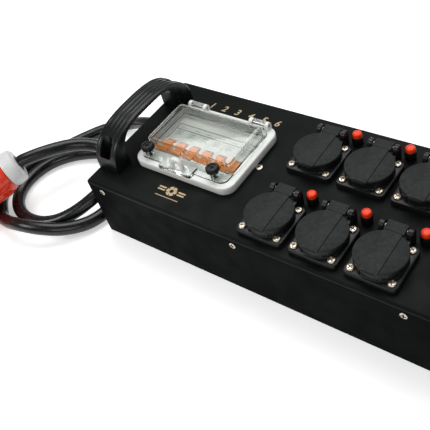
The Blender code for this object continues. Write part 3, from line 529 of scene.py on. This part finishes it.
def add_plug():
    turn = (-plug_rearward()).to_track_quat("Z", "Y").to_matrix()
    collar = Solid()
    collar.turned([
        (0.0100, -0.0150), (0.0105, -0.0170), (0.0160, -0.0170), (0.0185, -0.0164), (0.0205, -0.0150),
        (0.0215, -0.0125), (0.0219, -0.0080), (0.0221, -0.0030), (0.0217, -0.0022), (0.0217, -0.0004),
    ], 144, wave=36, depth=0.00018)
    nut = piece("plug_gland_nut", collar.mesh(), "collar", "box", PLUG_NECK, turn, ("plug_collar",))
    grip = Solid()
    grip.turned([
        (0.0120, 0.0), (0.0213, 0.0), (0.0224, 0.0006), (0.0238, 0.0050), (0.0246, 0.0150),
        (0.0254, 0.0280),
        (0.0262, 0.0380), (0.0268, 0.0455), (0.0285, 0.0472), (0.0315, 0.0480), (0.0325, 0.0492),
        (0.0325, 0.0552), (0.0318, 0.0565), (0.0305, 0.0575), (0.0305, 0.0930), (0.0300, 0.0948),
        (0.0278, 0.0950), (0.0270, 0.0944), (0.0270, 0.0580), (0.0120, 0.0580),
    ], 96)
    for i in range(PLUG_RIDGES):
        spin = Matrix.Rotation(2 * math.pi * (i + 0.5) / PLUG_RIDGES, 4, "Z")
        ridge = [(0.0225, 0.0080), (0.0251, 0.0080), (0.0262, 0.0120), (0.0270, 0.0400), (0.0262, 0.0440),
                 (0.0225, 0.0440)]
        grip.prism_y(ridge, -0.0016, 0.0016, spin)
    key = Matrix.Rotation(math.radians(90), 4, "Z")
    grip.block((0.0290, -0.0035, 0.0570), (0.0322, 0.0035, 0.0940), key)
    body = piece("plug_shell", grip.mesh(), "plug", "box", PLUG_NECK, turn, ("plug_body",), bevel=0.0004)
    insert = Solid()
    insert.turned([(0.0262, 0.0584), (0.0262, 0.0640), (0.0256, 0.0645), (0.0100, 0.0645)], 64)
    for i in range(PLUG_CONTACTS):
        angle = 2 * math.pi * i / PLUG_CONTACTS
        spot = (PLUG_CIRCLE * math.cos(angle), PLUG_CIRCLE * math.sin(angle), 0.0)
        wide = 0.0046 if i == 0 else 0.0041
        insert.turned([(wide, 0.0640), (wide, 0.0660), (wide - 0.0006, 0.0664), (0.0026, 0.0664)], 24, spot)
    disc = piece("plug_insert", insert.mesh(), "groove", "box", PLUG_NECK, turn, ("plug_pins",))
    pins = Solid()
    for i in range(PLUG_CONTACTS):
        angle = 2 * math.pi * i / PLUG_CONTACTS
        spot = (PLUG_CIRCLE * math.cos(angle), PLUG_CIRCLE * math.sin(angle), 0.0)
        radius = 0.0030 if i == 0 else 0.0025
        tip = [(radius * math.cos(t), 0.0875 + radius * math.sin(t)) for t in (0.0, 0.4, 0.8, 1.2)]
        pins.turned([(radius, 0.0650)] + tip, 24, spot)
    contacts = piece("plug_contacts", pins.mesh(), "brass", "box", PLUG_NECK, turn)
    return [nut, body, disc, contacts]


# ---- handles --------------------------------------------------------------------------------
HANDLE_WIDTH = 0.029


def superellipse(span, rise, power, angle):
    c = math.cos(angle)
    return Vector((-span * math.copysign(abs(c) ** (2 / power), c),
                   rise * abs(math.sin(angle)) ** (2 / power)))


def rib_profile():
    """(x, depth) over the grip's outer face: round edges and four grooves between five ribs."""
    edge = HANDLE_WIDTH / 2
    side = [(-edge, 0.0019), (-edge + 0.0002, 0.0010), (-edge + 0.0007, 0.0004), (-edge + 0.0015, 0.0001)]
    points = list(side)
    for i in range(4):
        groove = (i - 1.5) * 0.0058
        for t in (-1.0, -0.6, -0.25, 0.25, 0.6, 1.0):
            points.append((groove + 0.0014 * t, 0.0010 * (0.5 + 0.5 * math.cos(math.pi * t))))
        if i < 3:
            points.append((groove + 0.0029, -0.00005))
    return points + [(-x, depth) for x, depth in reversed(side)]


def handle_mesh():
    loops = []
    base = PANEL + GAP
    stations = 88
    for i in range(stations + 1):
        angle = math.pi * i / stations
        outer = superellipse(0.0684, 0.0434, 2.7, angle)
        inner = superellipse(0.0465, 0.0387, 4.0, angle)
        inward = (inner - outer).normalized()
        ribbed = min(1.0, max(0.0, (math.sin(angle) - 0.30) / 0.25))
        half = HANDLE_WIDTH / 2
        soft = (inner, inner - inward * 0.0007)
        loop = [(half - 0.0008, soft[0]), (-half + 0.0008, soft[0]), (-half, soft[1])]
        for x, depth in rib_profile():
            fade = 1.0 if abs(x) > 0.0125 else ribbed
            loop.append((x, outer + inward * depth * fade))
        loop.append((half, soft[1]))
        loops.append([(x, p.x, base + max(p.y, 0.0)) for x, p in loop])
    pocket = 0.0075
    cuts = []
    for side in (-1, 1):
        plan = [(-pocket, side * 0.0664), (pocket, side * 0.0664)]
        plan += [(x, -side * y) for x, y in arc((0.0, -0.0575), pocket, 0, 180, 20)]
        cuts.append(Solid().prism_z(plan, base + 0.006, base + 0.0455).mesh())
    return combine(Solid().loft(loops).mesh(), cuts=cuts)


def add_handles():
    mesh = handle_mesh()
    for side in ("left", "right"):
        x = middle(f"handle_{side}").x
        piece(f"handle_{side}_grip", mesh, "handle", "box", (x, 0.0, 0.0), stands_for=(f"handle_{side}",),
              sharp=28)
        for end, y in (("front", -0.0585), ("back", 0.0585)):
            piece(f"handle_{side}_screw_{end}", screw_mesh("cap"), "zinc", "box", (x, y, PANEL + 0.0064))


# ---- screws ------------------------------------------------------------------------------------
SCREWS = {}


def screw_mesh(kind):
    """Pan, countersunk and socket cap heads, z from the seat."""
    if kind not in SCREWS:
        cross = Solid().block((-0.0026, -0.0007, 0.0002), (0.0026, 0.0007, 0.006)).mesh()
        other = Solid().block((-0.0007, -0.0026, 0.0002), (0.0007, 0.0026, 0.006)).mesh()
        profiles = {
            "pan": [(0.0036, 0.0), (0.0038, 0.0005)] + arc((0.0025, 0.0009), 0.0013, 0, 75,
                                                           5) + [(0.0008, 0.0023)],
            "sunk": [(0.0022, -0.0012), (0.0037, 0.0), (0.0034, 0.0004), (0.0020, 0.0007),
                     (0.0008, 0.0008)],
            "cap": [(0.0036, 0.0), (0.0037, 0.0004), (0.0037, 0.0034), (0.0033, 0.0038), (0.0010, 0.0038)],
        }
        base = Solid().turned(profiles[kind], 32).mesh()
        if kind == "sunk":
            cross.transform(Matrix.Translation((0.0, 0.0, -0.0013)))
            other.transform(Matrix.Translation((0.0, 0.0, -0.0013)))
        if kind == "cap":
            cuts = [Solid().loft([hexagon(0.0019, z) for z in (0.0015, 0.006)]).mesh()]
        else:
            cuts = [cross, other]
        SCREWS[kind] = combine(base, cuts=cuts)
    return SCREWS[kind]


CASE_SCREWS_X = (-0.195, -0.0215, 0.151)


def add_screws():
    flat = Matrix.Identity(3)
    spin = 0
    for i in range(1, 7):
        low, high = (Vector(corner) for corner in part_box(f"socket_body_{i}"))
        x = (low.x + high.x) / 2
        y = low.y + 0.025
        for k, (dx, dy) in enumerate(((-0.019, -0.019), (0.019, -0.019), (0.019, 0.019), (-0.019, 0.019))):
            spin += 37
            turn = Matrix.Rotation(math.radians(spin), 3, "Z")
            piece(f"socket_{i}_screw_{k + 1}", screw_mesh("pan"), "screw", "box",
                  (x + dx, y + dy, PANEL + 0.0060), turn)
    for k, x in enumerate(CASE_SCREWS_X):
        for side, y, lean in (("front", -0.09, 90), ("back", 0.09, -90)):
            turn = Matrix.Rotation(math.radians(lean), 3, "X")
            spot = (x, y - math.copysign(0.0003, y), 0.070)
            piece(f"case_screw_{side}_{k + 1}", screw_mesh("sunk"), "screw", "box", spot, turn)
    piece("panel_screw", screw_mesh("sunk"), "screw", "box", (-0.0478, 0.001, PANEL + 0.0002), flat)


# ---- sockets ------------------------------------------------------------------------------------
def rounded_square(half, corner, z, segments=72):
    """A square with round corners, sampled at a circle's angles."""
    points = []
    core = half - corner
    for i in range(segments):
        angle = 2 * math.pi * i / segments
        c = abs(math.cos(angle))
        s = abs(math.sin(angle))
        reach = half / max(c, s)
        if min(c, s) * reach > core:
            along = core * (c + s)
            reach = along + math.sqrt(along * along - 2 * core * core + corner * corner)
        points.append((reach * math.cos(angle), reach * math.sin(angle), z))
    return points


def circle(radius, z, segments=72):
    turns = [2 * math.pi * i / segments for i in range(segments)]
    return [(radius * math.cos(t), radius * math.sin(t), z) for t in turns]


FLAP_AXIS_Y = 0.0295
FLAP_AXIS_Z = 0.0140


def socket_mesh():
    body = Solid()
    body.loft([
        circle(0.0197, -0.0032), circle(0.0197, 0.0136), circle(0.0200, 0.0142), circle(0.0224, 0.0143),
        circle(0.0228, 0.0141), circle(0.0230, 0.0136), circle(0.0230, 0.0072), circle(0.0236, 0.0062),
        rounded_square(0.0243, 0.0050, 0.0060), rounded_square(0.0248, 0.0050, 0.0057),
        rounded_square(0.0250, 0.0050, 0.0052), rounded_square(0.0250, 0.0050, 0.0006),
        rounded_square(0.0247, 0.0050, GAP), circle(0.0210, GAP), circle(0.0210, -0.0230),
        circle(0.0200, -0.0240),
    ])
    lug = [(0.0168, 0.0118), (0.0168, 0.0045), (0.0243, 0.0045), (0.0243, 0.0004),
           (FLAP_AXIS_Y + 0.0050, 0.0004)]
    lug += arc((FLAP_AXIS_Y, FLAP_AXIS_Z), 0.0050, 0, 150, 12) + [(0.0239, 0.0118)]
    additions = []
    for side in (-1, 1):
        additions.append(Solid().prism_x(lug, side * 0.0113, side * 0.0153).mesh())
    for angle in (205, 245, 295, 335):
        turn = Matrix.Rotation(math.radians(angle), 4, "Z")
        rib = [(0.0222, 0.0058), (0.0242, 0.0058), (0.0232, 0.0125), (0.0222, 0.0125)]
        additions.append(Solid().prism_y(rib, -0.0007, 0.0007, turn).mesh())
    cuts = []
    for side in (-1, 1):
        cuts.append(Solid().turned([(0.0025, -0.016), (0.0025, -0.002)], 24,
                                   (side * 0.0095, 0.0, 0.0)).mesh())
    cuts.append(Solid().rod(0.0015, (-0.017, FLAP_AXIS_Y, FLAP_AXIS_Z),
                            (0.017, FLAP_AXIS_Y, FLAP_AXIS_Z)).mesh())
    return combine(body.mesh(), additions, cuts)


def socket_fittings():
    """Earth clips in the cup."""
    fittings = Solid()
    for side in (-1, 1):
        clip = [(0.0150, -0.0031), (0.0190, -0.0031), (0.0190, 0.0105), (0.0182, 0.0112),
                (0.0178, 0.0060), (0.0168, 0.0020),
                (0.0150, -0.0023)]
        turn = Matrix.Rotation(math.radians(90 * side), 4, "Z")
        fittings.prism_y(clip, -0.0022, 0.0022, turn)
    return fittings.mesh()


def flap_outline(radius, lip, grow=0.0):
    """Plan of the cover about its hinge: a disc with a straight lifting lip in front."""
    meet = math.degrees(math.asin(0.0092 / radius))
    points = arc((0.0, 0.0), radius - grow, -90 + meet, 270 - meet, 60)
    points += [(-lip, -radius - 0.0012 + grow), (lip, -radius - 0.0012 + grow)]
    return [(x, y - FLAP_AXIS_Y) for x, y in points]


def flap_mesh():
    low = 0.0143 + GAP - FLAP_AXIS_Z
    top = low + 0.0034
    layers = ((0.0006, low), (0.0, low + 0.0005), (0.0, top - 0.0016), (0.0003, top - 0.0011),
              (0.0010, top - 0.0008))
    cover = Solid()
    cover.loft([[(x, y, z) for x, y in flap_outline(0.0238, 0.0060, grow)] for grow, z in layers])
    strip = [(-0.0086, -0.0537), (0.0086, -0.0537), (0.0086, -0.0073), (0.0078, -0.0068),
             (-0.0078, -0.0068), (-0.0086, -0.0073)]
    inner = [(x * 0.965, y) for x, y in strip]
    cover.loft([[(x, y, top - 0.0014) for x, y in strip], [(x, y, top - 0.00025) for x, y in strip],
                [(x, y, top) for x, y in inner]])
    tab = [(-0.0095, -0.0062), (0.0095, -0.0062), (0.0095, 0.0044), (0.0089, 0.0050), (-0.0089, 0.0050),
           (-0.0095, 0.0044)]
    tab_top = [(x * 0.96, y) for x, y in tab]
    cover.loft([[(x, y, low) for x, y in tab], [(x, y, top - 0.0006) for x, y in tab],
                [(x, y, top - 0.0001) for x, y in tab_top]])
    cover.rod(0.0034, (-0.0094, 0.0, 0.0), (0.0094, 0.0, 0.0), 28)
    return cover.mesh()


SPRING_RADIUS = 0.0024
SPRING_WIRE = 0.00032
SPRING_TURNS = 1.6
SPRING_STEPS = 60
SPRING_START = 0.0098
SPRING_WIDTH = 0.0011
SPRING_LEG = 0.0015
HINGE_PIN_RADIUS = 0.0012
HINGE_PIN_HALF = 0.0150


def spring_mesh(side):
    """A torsion spring round the hinge pin, with a short leg that carries on from its last turn."""
    path = []
    for i in range(SPRING_STEPS + 1):
        angle = 2 * math.pi * SPRING_TURNS * i / SPRING_STEPS
        x = side * (SPRING_START + SPRING_WIDTH * i / SPRING_STEPS)
        path.append((x, SPRING_RADIUS * math.cos(angle), SPRING_RADIUS * math.sin(angle)))
    end = Vector(path[-1])
    along = (end - Vector(path[-2])).normalized()
    path.append(tuple(end + SPRING_LEG * along))
    return Solid().tube(path, SPRING_WIRE, 8).mesh()


def add_sockets():
    body_mesh = socket_mesh()
    clip_mesh = socket_fittings()
    cover_mesh = flap_mesh()
    pin_mesh = Solid().rod(HINGE_PIN_RADIUS, (-HINGE_PIN_HALF, 0.0, 0.0), (HINGE_PIN_HALF, 0.0, 0.0),
                           20).mesh()
    springs = {side: spring_mesh(side) for side in (-1, 1)}
    for i in range(1, 7):
        low, high = (Vector(corner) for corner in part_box(f"socket_body_{i}"))
        spot = Vector(((low.x + high.x) / 2, low.y + 0.025, PANEL))
        hinge = spot + Vector((0.0, FLAP_AXIS_Y, FLAP_AXIS_Z))
        piece(f"socket_{i}_housing", body_mesh, "socket", "box", spot, stands_for=(f"socket_body_{i}",),
              sharp=30)
        piece(f"socket_{i}_earth_clips", clip_mesh, "zinc", "box", spot)
        piece(f"socket_{i}_cover", cover_mesh, "flap", f"flap_{i}", hinge,
              stands_for=(f"socket_flap_{i}",), sharp=30)
        piece(f"socket_{i}_hinge_pin", pin_mesh, "zinc", f"flap_{i}", hinge)
        for side, word in ((-1, "left"), (1, "right")):
            piece(f"socket_{i}_spring_{word}", springs[side], "zinc", "box", hinge)


# ---- reset buttons ---------------------------------------------------------------------------------
BUTTON_BORE = 0.00510           # clears the cap inside the ripple of the thread
BUTTON_COLLAR = 0.00570
BUTTON_CAP = 0.00465
BUTTON_THREAD = 0.0040


def add_buttons():
    housing = Solid()
    housing.turned([
        (BUTTON_BORE, 0.0010), (BUTTON_BORE, 0.0091), (0.0052, 0.0095), (0.00535, 0.0095),
        (BUTTON_COLLAR, 0.0090),
        (BUTTON_COLLAR, 0.0030), (0.00555, 0.0026), (0.00555, GAP), (BUTTON_THREAD, GAP),
        (BUTTON_THREAD, -0.0200),
    ], 120, wave=20, depth=0.0003)
    cap = Solid()
    cap.turned([
        (0.0040, 0.0046), (BUTTON_CAP, 0.0050), (BUTTON_CAP, 0.0120), (0.00452, 0.0128), (0.0042, 0.0133),
        (0.0037, 0.0136), (0.0031, 0.0135), (0.0027, 0.0131), (0.0012, 0.0130),
    ], 64)
    housing_mesh = housing.mesh()
    cap_mesh = cap.mesh()
    for i in range(1, 7):
        spot = middle(f"button_housing_{i}")
        spot.z = PANEL
        piece(f"button_{i}_collar", housing_mesh, "socket", "box", spot,
              stands_for=(f"button_housing_{i}",), sharp=40)
        piece(f"button_{i}_cap", cap_mesh, "button", f"button_{i}", spot,
              stands_for=(f"reset_button_{i}",), sharp=40)


# ---- window ------------------------------------------------------------------------------------------
WINDOW = Vector((-0.115, 0.001, 0.0))
DOME_Y = 0.00225
HINGE_Y = 0.0465
HINGE_RISE = 0.0133
FRAME_SIZE = (0.127, 0.0975)
DOME_LENGTH = 0.1096
DOME_WIDTH = 0.0625
LID_SIZE = (0.1125, 0.0842)
LID_SHIFT = -0.0011
HINGE_LUGS = (-0.051, -0.031, 0.031, 0.051)
EYE = Vector((-0.1192, -0.0415, 0.0))


def window_loop(length, width, corner, rise, dy=0.0):
    return rounded(length, width, corner, PANEL + rise, (WINDOW.x, WINDOW.y + dy), 8)


def frame_mesh():
    loops = [window_loop(0.1265, 0.0970, 0.0128, GAP), window_loop(*FRAME_SIZE, 0.013, 0.0008)]
    for inset, rise in ((0.0, 0.0076), (0.0002, 0.0082), (0.0006, 0.0087), (0.0012, 0.0090)):
        loops.append(window_loop(FRAME_SIZE[0] - 2 * inset, FRAME_SIZE[1] - 2 * inset, 0.013 - inset, rise))
    for grow, rise in ((0.0032, 0.0090), (0.0026, 0.0088), (0.0024, 0.0084), (0.0024, 0.0028)):
        loops.append(window_loop(DOME_LENGTH + grow, DOME_WIDTH + grow, 0.004, rise, DOME_Y))
    loops.append(window_loop(0.107, 0.046, 0.002, 0.0028))
    loops.append(window_loop(0.107, 0.046, 0.002, GAP))
    body = Solid().loft(loops, ring=True).mesh()
    top = PANEL + 0.009
    axis = PANEL + HINGE_RISE
    additions = []
    cuts = []
    for offset in HINGE_LUGS:
        x = WINDOW.x + offset
        outline = [(HINGE_Y + 0.0039, top - 0.001)] + arc((HINGE_Y, axis), 0.0039, 0, 180,
                                                          16) + [(HINGE_Y - 0.0039, top - 0.001)]
        additions.append(Solid().prism_x(outline, x - 0.002, x + 0.002).mesh())
        cuts.append(Solid().rod(0.0015, (x - 0.004, HINGE_Y, axis), (x + 0.004, HINGE_Y, axis)).mesh())
    centre = (EYE.x, top + 0.0062)
    eye = [(EYE.x + 0.0088, top - 0.001)] + arc(centre, 0.0088, 0, 180,
                                                28) + [(EYE.x - 0.0088, top - 0.001)]
    eye += [(EYE.x - 0.0050, top - 0.001)] + arc(centre, 0.0050, 180, 0,
                                                 20) + [(EYE.x + 0.0050, top - 0.001)]
    additions.append(Solid().prism_y(eye, EYE.y - 0.0018, EYE.y + 0.0018).mesh())
    for knob in ("left", "right"):
        spot = middle(f"lid_knob_{knob}")
        cuts.append(Solid().turned([(0.0024, top - 0.004), (0.0024, top + 0.002)], 24,
                                   (spot.x, spot.y, 0.0)).mesh())
    return combine(body, additions, cuts)


def lid_mesh():
    low = 0.0093
    top = 0.0113
    loops = []
    for inset, rise in ((0.0052, 0.0220), (0.0032, 0.0216), (0.0022, 0.0204), (0.0020, 0.0188)):
        loops.append(window_loop(DOME_LENGTH - 2 * inset, DOME_WIDTH - 2 * inset,
                                 max(0.0050 - inset, 0.0015), rise, DOME_Y))
    loops.append(window_loop(0.1056, 0.0585, 0.0030, low, DOME_Y))
    loops.append(window_loop(0.1117, 0.0834, 0.0076, low, LID_SHIFT))
    loops.append(window_loop(*LID_SIZE, 0.0080, low + 0.0004, LID_SHIFT))
    loops.append(window_loop(*LID_SIZE, 0.0080, top - 0.0004, LID_SHIFT))
    loops.append(window_loop(0.1117, 0.0834, 0.0076, top, LID_SHIFT))
    loops.append(window_loop(0.1104, 0.0633, 0.0054, top, DOME_Y))
    loops.append(window_loop(DOME_LENGTH, DOME_WIDTH, 0.0050, top + 0.0004, DOME_Y))
    for inset, rise in ((0.0, 0.0212), (0.0003, 0.0225), (0.0010, 0.0234), (0.0021, 0.0239),
                        (0.0034, 0.0240)):
        loops.append(window_loop(DOME_LENGTH - 2 * inset, DOME_WIDTH - 2 * inset, 0.0050 - inset, rise,
                                 DOME_Y))
    body = Solid().loft(loops).mesh()
    low += PANEL
    top += PANEL
    axis = PANEL + HINGE_RISE
    hasp = [rounded(0.043 - 2 * inset, 0.015 - 2 * inset, 0.0024, z, (EYE.x, -0.0410), 5)
            for inset, z in ((0.0, low), (0.0, top + 0.0014), (0.0006, top + 0.002))]
    additions = [Solid().loft(hasp).mesh()]
    slot = rounded(0.020, 0.0068, 0.0015, 0.0, (EYE.x, EYE.y - 0.0001), 4)
    cuts = [Solid().prism_z([(x, y) for x, y, _ in slot], low - 0.001, top + 0.003).mesh()]
    for first, second in (HINGE_LUGS[:2], HINGE_LUGS[2:]):
        start = WINDOW.x + first + 0.0023
        end = WINDOW.x + second - 0.0023
        additions.append(Solid().rod(0.0039, (start, HINGE_Y, axis), (end, HINGE_Y, axis), 32).mesh())
        additions.append(Solid().block((start + 0.001, 0.040, low),
                                       (end - 0.001, HINGE_Y - 0.002, top + 0.001)).mesh())
        cuts.append(Solid().rod(0.0015, (start - 0.002, HINGE_Y, axis),
                                (end + 0.002, HINGE_Y, axis)).mesh())
    for knob in ("left", "right"):
        spot = middle(f"lid_knob_{knob}")
        at = (spot.x, spot.y, PANEL)
        additions.append(Solid().turned([(0.0046, 0.0110), (0.0046, 0.0168), (0.0042, 0.0175)], 40,
                                        at).mesh())
        cuts.append(Solid().turned([(0.0024, 0.0080), (0.0024, 0.0190)], 32, at).mesh())
    return combine(body, additions, cuts)


def knob_mesh():
    head = 0.0062
    body = Solid()
    body.turned([(0.0013, -0.0103), (0.0018, -0.0098), (0.0018, 0.0004), (0.0010, 0.0004)], 24)
    profile = [(0.0058, 0.0), (0.0068, 0.0005), (0.0071, 0.0012), (0.0071, head - 0.0014),
               (0.0067, head - 0.0006),
               (0.0060, head - 0.0001), (0.0052, head), (0.0046, head), (0.0042, head - 0.0009),
               (0.0012, head - 0.0009)]
    body.turned(profile, 160, wave=20, depth=0.0007)
    cross = [Solid().block((-0.0030, -0.0006, head - 0.0026), (0.0030, 0.0006, head + 0.001)).mesh(),
             Solid().block((-0.0006, -0.0030, head - 0.0026), (0.0006, 0.0030, head + 0.001)).mesh()]
    return combine(body.mesh(), cuts=cross)


def add_window():
    piece("window_surround", frame_mesh(), "frame", "box", stands_for=("window_frame",), sharp=38)
    piece("window_cover", lid_mesh(), "clear", "lid", stands_for=("window_lid",), sharp=38)
    mesh = knob_mesh()
    for side in ("left", "right"):
        spot = middle(f"lid_knob_{side}")
        spot.z = PANEL + 0.0178
        piece(f"thumb_screw_{side}", mesh, "socket", f"knob_{side}", spot,
              stands_for=(f"lid_knob_{side}",), sharp=40)
        dress(f"lid_pin_{side}", "zinc")


# ---- breakers -------------------------------------------------------------------------------------------
TOGGLE = Vector((0.0, -0.009, 0.0775))


def breaker_mesh():
    face = PANEL + 0.002
    shoulder = face - 0.016
    foot = face - 0.060
    half = 0.00865
    outline = [(-0.0225, face), (-0.0225, shoulder), (-0.0415, shoulder), (-0.0415, foot), (-0.0178, foot),
               (-0.0178, foot + 0.0047), (0.0178, foot + 0.0047), (0.0178, foot), (0.0415, foot),
               (0.0415, shoulder),
               (0.0225, shoulder), (0.0225, face)]
    outline = [(WINDOW.y + y, z) for y, z in outline]
    body = Solid().prism_x(outline, -half, half).mesh()
    cuts = [
        Solid().rod(0.0090, (-0.0055, TOGGLE.y, TOGGLE.z), (0.0055, TOGGLE.y, TOGGLE.z), 48).mesh(),
        Solid().block((-0.0120, WINDOW.y + 0.0145, face - 0.0012),
                      (0.0120, WINDOW.y + 0.0154, face + 0.001)).mesh(),
        Solid().block((-0.0070, WINDOW.y + 0.0035, face - 0.0002),
                      (0.0070, WINDOW.y + 0.0130, face + 0.001)).mesh(),
    ]
    for side in (-1, 1):
        well = Solid().turned([(0.0030, shoulder - 0.006), (0.0030, shoulder + 0.001)], 24,
                              (0.0, WINDOW.y + side * 0.032, 0.0))
        cuts.append(well.mesh())
    return combine(body, cuts=cuts)


def print_meshes():
    """Short printed bars in place of the wording on a breaker's face, and a dark fill in the slot across the
    face that is painted shade.
    """
    face = PANEL + 0.002
    green = Solid().block((-0.0048, WINDOW.y + 0.0112, face - 0.00019),
                          (0.0036, WINDOW.y + 0.0120, face - 0.00009))
    ink = Solid()
    for row, (start, end) in enumerate(((-0.0050, 0.0010), (-0.0050, 0.0040), (-0.0050, -0.0012))):
        y = WINDOW.y + 0.0090 - row * 0.0020
        ink.block((start, y, face - 0.00019), (end, y + 0.0006, face - 0.00009))
    ink.block((-0.0040, WINDOW.y + 0.0180, face + 0.00001), (0.0040, WINDOW.y + 0.0186, face + 0.00010))
    # dark slab filling the cut slot to just under the face: painted shade in place of the slot's own shadow
    seam_painted_shade = Solid().block((-0.00864, WINDOW.y + 0.01452, face - 0.00115),
                         (0.00864, WINDOW.y + 0.01538, face - 0.0001))
    return green.mesh(), ink.mesh(), seam_painted_shade.mesh()


def toggle_mesh():
    turn = Matrix.Rotation(math.radians(45), 4, "X")
    body = Solid()
    body.rod(0.0084, (-0.0051, 0.0, 0.0), (0.0051, 0.0, 0.0), 56)
    body.block((-0.0051, -0.0010, 0.0), (0.0051, 0.0010, 0.0140), turn)
    bar = [(-0.0018, 0.0108), (0.0018, 0.0108), (0.0023, 0.0114), (0.0023, 0.0146), (0.0014, 0.0155),
           (-0.0014, 0.0155),
           (-0.0023, 0.0146), (-0.0023, 0.0114)]
    body.prism_x(bar, -0.0082, 0.0082, turn)
    for k in range(7):
        x = -0.0066 + k * 0.0022
        body.block((x - 0.0004, -0.0025, 0.0118), (x + 0.0004, 0.0025, 0.0143), turn)
    return body.mesh()


def add_breakers():
    body = breaker_mesh()
    green, ink, seam_painted_shade = print_meshes()
    toggle = toggle_mesh()
    for i in range(1, 7):
        x = middle(f"breaker_{i}").x
        piece(f"breaker_{i}_case", body, "breaker", "box", (x, 0.0, 0.0), stands_for=(f"breaker_{i}",),
              bevel=0.00035)
        piece(f"breaker_{i}_green_bar", green, "green", "box", (x, 0.0, 0.0))
        piece(f"breaker_{i}_grey_bars", ink, "ink", "box", (x, 0.0, 0.0))
        # the dark slab in the face slot is painted shade
        piece(f"breaker_{i}_seam", seam_painted_shade, "groove", "box", (x, 0.0, 0.0))
        spot = (x, TOGGLE.y, TOGGLE.z)
        piece(f"breaker_{i}_lever", toggle, "toggle", f"toggle_{i}", spot,
              stands_for=(f"breaker_toggle_{i}",), bevel=0.0002)
    dress("din_rail", "zinc")
    dress("terminal_block", "breaker")
    dress("earth_bar", "brass")


# ---- case and print ----------------------------------------------------------------------------------------
def add_digits():
    for i in range(6):
        text = bpy.data.curves.new(f"digit_{i + 1}", "FONT")
        text.body = str(i + 1)
        text.size = 0.0122
        text.offset = 0.00016
        text.shear = 0.2
        text.align_x = "CENTER"
        text.align_y = "CENTER"
        text.extrude = 0.00004
        carrier = bpy.data.objects.new("work", text)
        bpy.context.collection.objects.link(carrier)
        mesh = bpy.data.meshes.new_from_object(carrier.evaluated_get(bpy.context.evaluated_depsgraph_get()))
        bpy.data.objects.remove(carrier, do_unlink=True)
        mesh.materials.clear()
        x = -0.1536 + i * 0.0175
        piece(f"digit_{i + 1}", mesh, "print", "box", (x, 0.0647, PANEL + 0.00006))


def add_badge():
    """A plain gold emblem: a ring of six petals beside two short bars."""
    badge = Solid()
    z0, z1 = 0.00002, 0.0001
    for i in range(6):
        turn = Matrix.Rotation(math.radians(60 * i), 4, "Z")
        badge.prism_z([(0.0022, -0.0016), (0.0058, -0.0024), (0.0064, 0.0), (0.0058, 0.0024),
                       (0.0022, 0.0016)], z0, z1, turn)
    for side in (-1, 1):
        badge.block((side * 0.0125 - 0.0045, 0.0008, z0), (side * 0.0125 + 0.0045, 0.0026, z1))
        badge.block((side * 0.0125 - 0.0045, -0.0026, z0), (side * 0.0125 + 0.0045, -0.0008, z1))
    badge.block((-0.0150, -0.0098, z0), (0.0150, -0.0090, z1))
    piece("panel_emblem", badge.mesh(), "print", "box", (-0.1134, -0.0640, PANEL))


def add_case():
    # the tray takes the darker tone as painted shade, the panel the lighter tone as painted sheen
    dress("base_tray", "tray")
    dress("top_panel", "panel")


add_camera()
add_studio()
plug = add_plug()
gland = add_gland()
add_cable()
add_case()
add_handles()
add_screws()
add_sockets()
add_buttons()
add_window()
add_breakers()
add_digits()
add_badge()
